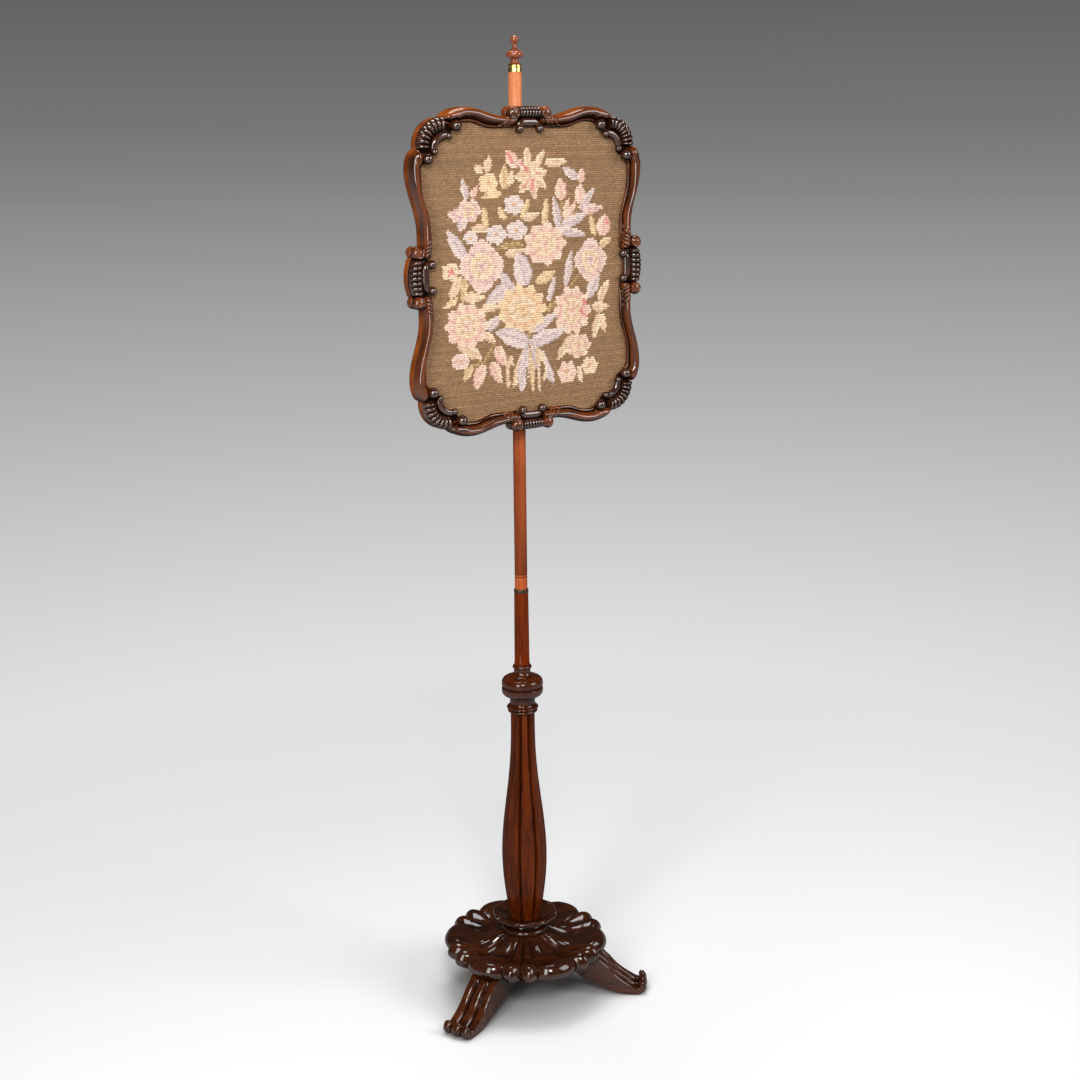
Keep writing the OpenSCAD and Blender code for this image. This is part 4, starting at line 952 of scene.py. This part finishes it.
def new_group(name, inputs, outputs):
    """A node group; its inputs have first values, or None for a vector, and its outputs are Color and numbers."""
    group = bpy.data.node_groups.new(name, "ShaderNodeTree")
    for title, value in inputs.items():
        kind = "Vector" if value is None else "Color" if isinstance(value, tuple) else "Float"
        socket = group.interface.new_socket(title, in_out="INPUT", socket_type="NodeSocket" + kind)
        if value is not None:
            socket.default_value = value
    for title in outputs:
        kind = "Color" if title == "Color" else "Float"
        group.interface.new_socket(title, in_out="OUTPUT", socket_type="NodeSocket" + kind)
    return group, group.nodes.new("NodeGroupInput").outputs, group.nodes.new("NodeGroupOutput").inputs


def wood_figure():
    """Streaked hardwood along X of its vector: figure, dark streaks and pores."""
    tree, given, result = new_group(
        "wood_figure",
        dict(Vector=None, Dark=(0.02, 0.008, 0.004, 1), Body=(0.08, 0.025, 0.012, 1), Light=(0.2, 0.07, 0.025, 1),
             Streaks=0.6),
        ("Color", "Height"),
    )
    stretch = add(tree, "Mapping", given["Vector"], Scale=(7, 75, 75))
    figure = noise(tree, stretch, 1.0, 5.0, Roughness=0.55, Distortion=0.6)
    body = blend(tree, ramp(tree, figure, (0.3, 0), (0.7, 1)), given["Body"], given["Light"])
    fine = add(tree, "Mapping", given["Vector"], Scale=(14, 330, 330))
    streak = noise(tree, fine, 1.0, 4.0, Roughness=0.6, Distortion=0.3)
    share = maths(tree, "MULTIPLY", ramp(tree, streak, (0.5, 0), (0.68, 1)), given["Streaks"])
    feed(tree, blend(tree, share, body, given["Dark"]), result["Color"])
    feed(tree, streak, result["Height"])
    return tree


def polish_wear_and_shading():
    """Polished wood: painted shade darkens its hollows, painted light makes its sides redder, wear makes its rubbed
    edges redder, and it is duller where dust lies.
    """
    tree, given, result = new_group(
        "polish_wear_and_shading",
        dict(Color=(0.1, 0.05, 0.02, 1), Hollow=0.5, Side=0.0, Vector=None, Rubbed=(0.3, 0.12, 0.04, 1), Gloss=0.2),
        ("Color", "Roughness", "Shine"),
    )
    depth = ramp(tree, given["Hollow"], (0.515, 0), (0.72, 1))
    edge = ramp(tree, given["Hollow"], (0.03, 1), (0.22, 0))
    patches = noise(tree, given["Vector"], 45.0, 3.0)
    worn = maths(tree, "MULTIPLY", edge, maths(tree, "MULTIPLY", patches, 0.5))
    # painted light: the sides take the lighter, redder tone in patches
    painted_side_light = maths(tree, "MULTIPLY", given["Side"], ramp(tree, patches, (0.36, 0.18), (0.64, 1)))
    lighter = blend(tree, maths(tree, "MAXIMUM", worn, painted_side_light), given["Color"], given["Rubbed"])
    # painted shade: the hollows are darkened towards near black
    painted_hollow_shade = blend(tree, maths(tree, "MULTIPLY", depth, 0.92), lighter, (0.006, 0.003, 0.002, 1))
    dull = maths(tree, "MULTIPLY_ADD", depth, 0.3, given["Gloss"])
    shine = ramp(tree, depth, (0.2, 1), (0.9, 0.08))
    left = maths(tree, "MULTIPLY_ADD", given["Side"], -0.85, 1.0)
    feed(tree, painted_hollow_shade, result["Color"])
    feed(tree, maths(tree, "MULTIPLY_ADD", patches, 0.12, dull), result["Roughness"])
    feed(tree, maths(tree, "MULTIPLY", shine, left), result["Shine"])
    return tree


WOOD, POLISH = wood_figure(), polish_wear_and_shading()


def polished_wood(
    name, grain_turn, dark, body, light, worn_and_lit, streaks=0.7, gloss=0.2, coat=1.0, dense=1.5, carved=True
):
    """French-polished wood, with its grain turned to run along a piece; carved wood shows wear, painted shade and
    painted light by its shape.
    """
    material, tree, place = shader(name)
    grain = add(tree, "Mapping", place, Rotation=tuple(math.radians(a) for a in grain_turn))
    figure = add(
        tree, "Group", grain, node_tree=WOOD, Dark=(*dark, 1), Body=(*body, 1), Light=(*light, 1), Streaks=streaks
    )
    polish = add(tree, "Group", figure, node_tree=POLISH, Vector=place, Rubbed=(*worn_and_lit, 1), Gloss=gloss)
    # the hollow and side marks bring in wear, painted shade in hollows and painted light on sides
    for title in ("Hollow", "Side") if carved else ():
        feed(tree, add(tree, "Attribute", attribute_name=title.lower()).outputs["Fac"], polish.inputs[title])
    # the coat fades towards a form's rim, which would mirror the pale studio there
    slope = add(tree, "LayerWeight", Blend=0.5).outputs["Facing"]
    rim = ramp(tree, slope, (0.45, coat), (0.88, 0.12 * coat))
    surface(
        tree, Base_Color=polish.outputs["Color"], Roughness=polish.outputs["Roughness"], Specular_IOR_Level=0.0,
        Normal=bump(tree, figure.outputs["Height"], 0.1, 0.0004), Coat_Roughness=0.12, Coat_IOR=dense,
        Coat_Weight=maths(tree, "MULTIPLY", polish.outputs["Shine"], rim),
    )
    return material


def pale_above(material, height, tint):
    """Lightens a wood above a height."""
    tree = material.node_tree
    colour = tree.nodes["Principled BSDF"].inputs["Base Color"]
    up = add(tree, "SeparateXYZ", tree.nodes["Texture Coordinate"].outputs["Object"]).outputs["Z"]
    reach = add(tree, "MapRange", up, height - 0.03, height + 0.01)
    feed(tree, blend(tree, reach, colour.links[0].from_socket, (*tint, 1), "ADD"), colour)


ALONG_X, ALONG_Z, ASLANT = (0, 0, 0), (0, 90, 0), (0, 0, 40)
MOULDING_TONES = dict(
    dark=(0.006, 0.0024, 0.0014), body=(0.03, 0.0088, 0.0034), light=(0.21, 0.048, 0.009), worn_and_lit=(0.32, 0.076, 0.011),
    gloss=0.25, coat=0.9, dense=1.6,
)
RAIL_WOOD = polished_wood("rail_wood", ALONG_X, **MOULDING_TONES)
STILE_WOOD = polished_wood("stile_wood", ALONG_Z, **MOULDING_TONES)
CARVED_WOOD = polished_wood(
    "carved_wood", ALONG_X, (0.003, 0.0014, 0.001), (0.018, 0.0058, 0.003), (0.07, 0.0195, 0.0072), (0.3, 0.074, 0.011),
    gloss=0.3, dense=1.75,
)
STAND_WOOD_X = polished_wood(
    "stand_wood_level", ASLANT, (0.002, 0.001, 0.0006), (0.013, 0.004, 0.002), (0.058, 0.014, 0.004),
    (0.15, 0.038, 0.01),
)
STAND_WOOD_Z = polished_wood(
    "stand_wood_upright", ALONG_Z, (0.004, 0.0012, 0.0006), (0.042, 0.007, 0.0012), (0.145, 0.024, 0.002),
    (0.2, 0.045, 0.008), coat=0.2,
)
KNOP_WOOD = polished_wood(
    "knop_wood", ALONG_Z, (0.004, 0.0012, 0.0006), (0.028, 0.0055, 0.0013), (0.095, 0.018, 0.0025), (0.2, 0.045, 0.008),
    coat=0.7,
)
LEG_WOOD = polished_wood(
    "leg_wood", ASLANT, (0.003, 0.0012, 0.0006), (0.026, 0.0066, 0.002), (0.088, 0.02, 0.0045), (0.17, 0.04, 0.009),
    coat=0.85,
)
STEM_WOOD = polished_wood(
    "stem_wood", ALONG_Z, (0.02, 0.003, 0.0006), (0.11, 0.014, 0.001), (0.19, 0.027, 0.002), (0.2, 0.03, 0.004),
    coat=0.2,
)
POLE_WOOD = polished_wood(
    "pole_wood", ALONG_Z, (0.14, 0.03, 0.008), (0.38, 0.078, 0.022), (0.58, 0.14, 0.044), (0.55, 0.14, 0.045),
    streaks=0.55, gloss=0.3, coat=0.15,
)
pale_above(POLE_WOOD, 1.31, (0.12, 0.09, 0.05))
FINIAL_WOOD = polished_wood(
    "finial_wood", ALONG_Z, (0.05, 0.010, 0.004), (0.22, 0.048, 0.014), (0.34, 0.085, 0.025), (0.42, 0.12, 0.035)
)
BOARD_WOOD = polished_wood(
    "board_wood", ALONG_Z, (0.25, 0.15, 0.07), (0.42, 0.28, 0.15), (0.52, 0.37, 0.21), (0.5, 0.36, 0.2),
    streaks=0.3, gloss=0.6, coat=0.0, carved=False,
)
BACK_WOOD = polished_wood(
    "back_wood", ALONG_Z, (0.03, 0.011, 0.005), (0.10, 0.036, 0.014), (0.17, 0.066, 0.026), (0.2, 0.09, 0.04),
    streaks=0.5, gloss=0.4, coat=0.0, carved=False,
)


def aged_metal(name, clean, dull, rough):
    """Old metal: bright where it is handled, browned in patches, with fine scratches."""
    material, tree, place = shader(name)
    patches = noise(tree, place, 120.0, 4.0, Roughness=0.65)
    scratch = noise(tree, place, 900.0, 2.0)
    surface(
        tree, Base_Color=ramp(tree, patches, (0.35, clean), (0.75, dull)), Metallic=1.0,
        Roughness=ramp(tree, scratch, (0.3, rough), (0.8, rough + 0.2)), Normal=bump(tree, scratch, 0.08, 0.0002),
    )
    return material


BRASS = aged_metal("old_brass", (0.74, 0.50, 0.18), (0.42, 0.25, 0.08), 0.2)
DARK_METAL = aged_metal("dark_metal", (0.06, 0.05, 0.045), (0.10, 0.06, 0.04), 0.35)


def wool_material():
    """Fuzzy wool, in the colour that each stitch carries, painted shade at each grain's foot included."""
    material, tree, place = shader("tent_stitch_wool")
    fuzz = noise(tree, place, 900.0, 3.0, Roughness=0.7)
    shade = ramp(tree, fuzz, (0.2, 0.8), (0.8, (1.12, 1.1, 1.06)))
    wool = add(tree, "Attribute", attribute_name="wool").outputs["Color"]
    surface(
        tree, Base_Color=blend(tree, 1.0, wool, shade, "MULTIPLY"), Normal=bump(tree, fuzz, 0.35, 0.0003),
        Roughness=0.9, Specular_IOR_Level=0.15, Sheen_Weight=0.15,
    )
    return material


def canvas_material():
    """Brown canvas with its threads in level rows."""
    material, tree, place = shader("needlework_canvas")
    rows = 2 * math.pi / (STITCH * MM) / 20
    threads = add(tree, "TexWave", place, Scale=rows, bands_direction="Z", Distortion=0.4).outputs
    brown = ramp(tree, threads["Color"], (0.2, (0.08, 0.048, 0.024)), (0.8, (0.17, 0.11, 0.06)))
    surface(tree, Base_Color=brown, Normal=bump(tree, threads["Fac"], 0.4, 0.0005), Roughness=0.95)
    return material


# ---- Finishing

def hollows_of(piece, reach=1.6, rounds=2):
    """Normals of a piece, and how hollow (above a half) or proud (below a half) its surface is at each point."""
    mesh, spots = piece.data, spots_of(piece)
    count = len(spots)
    normals, edges = np.empty(count * 3), np.empty(len(mesh.edges) * 2, int)
    mesh.vertex_normals.foreach_get("vector", normals)
    mesh.edges.foreach_get("vertices", edges)
    normals = normals.reshape(-1, 3)
    a, b = edges.reshape(-1, 2).T
    run = spots[b] - spots[a]
    length = np.sqrt(np.maximum((run**2).sum(1), 1e-10))
    bend, weight = np.zeros(count), np.zeros(count)
    for near, step in ((a, run), (b, -run)):
        np.add.at(bend, near, 2 * (step * normals[near]).sum(1) / length)
        np.add.at(weight, near, length)
    value = np.clip(bend / np.maximum(weight, 1e-9) * reach * MM, -1, 1)
    for _ in range(rounds):
        total, near_count = value.copy(), np.ones(count)
        for near, other in ((a, b), (b, a)):
            np.add.at(total, near, value[other])
            np.add.at(near_count, near, 1)
        value = total / near_count
    return normals, np.clip(0.5 + value, 0, 1)


def sides_of(piece, normals):
    """How far each point of the screen's frame faces sideways, where it gets painted light and less shine, and its
    level.
    """
    forward = -spots_of(piece)[:, 1] / MM - FRAME_BACK
    side = np.clip((0.55 - np.abs(normals[:, 1])) / 0.35, 0, 1)
    side *= np.sin(np.pi * np.clip((forward + 4) / 19, 0, 1)) ** 0.7
    if piece.name.startswith("corner") or "crest" in piece.name:
        side *= np.clip((12.6 - forward) / 1.5, 0, 1)
    # the top rail's upward faces get painted light too
    if piece.name.startswith("top_rail"):
        upward = np.clip((normals[:, 2] - 0.25) / 0.4, 0, 1)
        side = np.maximum(side, 0.6 * upward * np.clip((27.5 - forward) / 5, 0, 1))
    return side, forward


def mark(piece, name, values):
    piece.data.attributes.new(name, "FLOAT", "POINT").data.foreach_set("value", values.astype(np.float32))


def mark_shade_and_wear(piece, on_screen):
    """Stores where a piece is hollow, for wear and painted shade, and on the screen's frame also where it faces
    sideways, for painted light.
    """
    normals, hollow = hollows_of(piece)
    if on_screen:
        side, forward = sides_of(piece, normals)
        mark(piece, "side", side)
        # the flat ground between carvings stays dull and gets painted shade, and undersides get painted shade
        level = np.min([np.abs(forward - d) for d in (REBATE, FAN_LEVEL, CREST_LEVEL)], 0) < 0.15
        hollow[level & (normals[:, 1] < -0.3)] = 0.74
        hollow = np.maximum(hollow, 0.5 + 0.17 * np.clip((-normals[:, 2] - 0.2) / 0.5, 0, 1))
    mark(piece, "hollow", hollow)


def finished(piece, body, material, slot, replaced=None, smooth=38, worn=True):
    take(piece)
    bpy.ops.object.shade_smooth_by_angle(angle=math.radians(smooth))
    piece.data.materials.clear()
    piece.data.materials.append(material)
    # the marks carry painted shade and painted light as well as wear
    if worn:
        mark_shade_and_wear(piece, body == "screen")
    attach(piece, body)
    if replaced:
        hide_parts(replaced)


def dress_node(name, material):
    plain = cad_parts[name]
    plain.data.materials.clear()
    plain.data.materials.append(material)


def build_screen():
    rail = frame_member("top_rail", TOP_MOULDING, TOP_CREST)
    low_rail = reflected(rail, "bottom_rail_carved", 2)
    stile = frame_member("right_stile", SIDE_MOULDING, SIDE_CREST)
    left_stile = reflected(stile, "left_stile_carved", 0)
    corner = corner_carving("corner_top_right_carved")
    low_corner = reflected(corner, "corner_bottom_right_carved", 2)
    pieces = [
        (rail, RAIL_WOOD, "top_rail"), (low_rail, RAIL_WOOD, "bottom_rail"), (stile, STILE_WOOD, "right_stile"),
        (left_stile, STILE_WOOD, "left_stile"), (corner, CARVED_WOOD, "corner_top_right"),
        (low_corner, CARVED_WOOD, "corner_bottom_right"),
        (reflected(corner, "corner_top_left_carved", 0), CARVED_WOOD, "corner_top_left"),
        (reflected(low_corner, "corner_bottom_left_carved", 0), CARVED_WOOD, "corner_bottom_left"),
    ]
    crest = crest_carving("top_crest_carved", TOP_MOULDING, TOP_CREST)
    side = crest_carving("right_crest_carved", SIDE_MOULDING, SIDE_CREST)
    pieces += [
        (crest, CARVED_WOOD, "top_crest"), (side, CARVED_WOOD, "right_crest"),
        (reflected(crest, "bottom_crest_carved", 2), CARVED_WOOD, "bottom_crest"),
        (reflected(side, "left_crest_carved", 0), CARVED_WOOD, "left_crest"),
    ]
    for piece, material, replaced in pieces:
        finished(piece, "screen", material, "carved_wood", replaced)


def build_needlework():
    canvas = plate("needlework_canvas", panel_outline(), 10.05, 11.15, 0.2)
    sewn = stitches()
    finished(sewn, "screen", wool_material(), "wool", smooth=60, worn=False)
    finished(canvas, "screen", canvas_material(), "wool", "needlework", worn=False)


def build_stand():
    finished(base_dish(), "stand", STAND_WOOD_X, "base_wood", "base_dish")
    for k, name in enumerate(("leg_right", "leg_back", "leg_left")):
        finished(leg(name + "_carved", BASE_TURN + LEG_FIRST + 120 * k), "stand", LEG_WOOD, "base_wood", name)
    finished(lotus_collar(), "stand", STAND_WOOD_X, "base_wood", "lotus_collar")
    finished(column(), "stand", STAND_WOOD_Z, "base_wood", "column", smooth=30)
    finishes = {
        "base_ring": (STAND_WOOD_X, "base_wood"), "column_knop": (KNOP_WOOD, "base_wood"),
        "lower_stem": (STEM_WOOD, "base_wood"), "stem_ferrule": (DARK_METAL, "dark_metal"),
        "pole": (POLE_WOOD, "pole_wood"), "pole_ferrule": (BRASS, "brass"), "finial": (FINIAL_WOOD, "base_wood"),
    }
    for name, piece in turned_pieces():
        material, slot = finishes[name]
        finished(piece, "finial" if name == "finial" else "stand", material, slot, name, smooth=32)


def build_hardware():
    for name in ("upper_bracket", "lower_bracket", "bracket_screws", "height_collar", "thumb_screw"):
        dress_node(name, BRASS)
    for name in ("leg_screws", "panel_brads"):
        dress_node(name, DARK_METAL)
    dress_node("canvas_board", BOARD_WOOD)
    dress_node("back_panel", BACK_WOOD)


# ---- Studio

def build_camera():
    azimuth, pitch, yaw, roll = -32.0, 14.0, 0.69, 0.54
    away, height = 2.35, 1.30
    camera = bpy.data.objects.new("camera", bpy.data.cameras.new("camera"))
    bpy.context.scene.collection.objects.link(camera)
    camera.data.lens, camera.data.sensor_width = 55.47, 36.0
    turn = (
        Matrix.Rotation(math.radians(azimuth - yaw), 4, "Z")
        @ Matrix.Rotation(math.radians(90 - pitch), 4, "X")
        @ Matrix.Rotation(math.radians(-roll), 4, "Z")
    )
    spot = (away * math.sin(math.radians(azimuth)), -away * math.cos(math.radians(azimuth)), height)
    camera.matrix_world = Matrix.Translation(spot) @ turn
    bpy.context.scene.camera = camera


def soft_light(name, spot, target, size, watts, colour=(1, 1, 1)):
    lamp = bpy.data.objects.new(name, bpy.data.lights.new(name, "AREA"))
    bpy.context.scene.collection.objects.link(lamp)
    lamp.data.shape, lamp.data.size, lamp.data.size_y = "RECTANGLE", size[0], size[1]
    lamp.data.energy, lamp.data.color = watts, colour
    lamp.location = spot
    lamp.rotation_euler = (Vector(target) - Vector(spot)).to_track_quat("-Z", "Y").to_euler()


def seen_as_drawn(tree):
    """Where the studio is seen by the camera or in a polish, and not as light on the pieces."""
    path = add(tree, "LightPath").outputs
    seen = maths(tree, "MAXIMUM", path["Is Camera Ray"], path["Is Glossy Ray"])
    return maths(tree, "MAXIMUM", seen, path["Is Transmission Ray"])


def build_floor():
    """Pale floor: lit and shadowed near the stand, with a painted contact shadow from ambient occlusion, and fading to
    grey with distance behind it.
    """
    deselect()
    bpy.ops.mesh.primitive_circle_add(vertices=96, radius=30, fill_type="NGON", location=(0, 0, -0.0005))
    floor = named("floor")
    material, tree, place = shader("studio_floor")
    distance = add(tree, "VectorMath", place, operation="LENGTH").outputs["Value"]
    nearness = maths(tree, "DIVIDE", 2.0, maths(tree, "ADD", distance, 2.0))
    tones = ramp(
        tree, nearness, (0.0625, 0.245), (0.167, 0.36), (0.267, 0.465), (0.37, 0.58), (0.476, 0.69), (0.588, 0.785),
        (0.7, 0.875), (0.82, 0.93),
    )
    far = ramp(tree, nearness, (0.55, 1), (0.74, 0))
    seen = seen_as_drawn(tree)
    paint = ramp(tree, seen, (0, 0.12), (1, 0.8))
    # painted shadow: ambient occlusion darkens the floor's colour under and round the stand
    painted_contact_shadow = ramp(tree, add(tree, "AmbientOcclusion", Distance=0.3).outputs["AO"], (0.3, 0.42), (0.82, 1))
    shaded = blend(tree, 1.0, paint, painted_contact_shadow, "MULTIPLY")
    lit = surface(tree, Base_Color=shaded, Roughness=0.9, Specular_IOR_Level=0.0)
    mixed = add(tree, "MixShader", maths(tree, "MULTIPLY", far, seen), lit, add(tree, "Emission", tones))
    feed(tree, mixed, tree.nodes["Material Output"].inputs["Surface"])
    floor.data.materials.append(material)


def build_backdrop():
    """Grey backdrop that darkens upwards; it lights the pieces only faintly."""
    world = bpy.data.worlds.new("studio")
    bpy.context.scene.world = world
    world.use_nodes = True
    tree = world.node_tree
    faint = tree.nodes["Background"]
    feed(tree, (0.92, 0.96, 1, 1), faint.inputs["Color"])
    feed(tree, 0.07, faint.inputs["Strength"])
    up = add(tree, "SeparateXYZ", add(tree, "TexCoord").outputs["Generated"]).outputs["Z"]
    height = add(tree, "MapRange", up, -0.1, 0.4)
    tones = ramp(tree, height, (0, 0.32), (0.114, 0.245), (0.2, 0.181), (0.34, 0.125), (1, 0.05))
    mixed = add(tree, "MixShader", seen_as_drawn(tree), faint, add(tree, "Background", tones))
    feed(tree, mixed, tree.nodes["World Output"].inputs["Surface"])


def build_lights():
    soft_light("key", (-2.3, -1.5, 1.7), (0, 0, 0.95), (0.8, 2.4), 60, (1, 0.98, 0.95))
    soft_light("key_twin", (-1.3, -2.4, 2.5), (0, 0, 0.8), (0.7, 0.7), 60, (1, 0.98, 0.95))
    soft_light("fill", (1.9, -2.4, 2.3), (0, 0, 0.8), (1.8, 1.8), 69)
    soft_light("top", (0.2, 0.5, 3.3), (0, 0, 0.5), (1.2, 1.2), 44, (0.94, 0.97, 1))
    bpy.context.scene.view_settings.view_transform = "Standard"


build_camera()
build_screen()
build_needlework()
build_stand()
build_hardware()
build_floor()
build_backdrop()
build_lights()

bpy.context.view_layer.update()
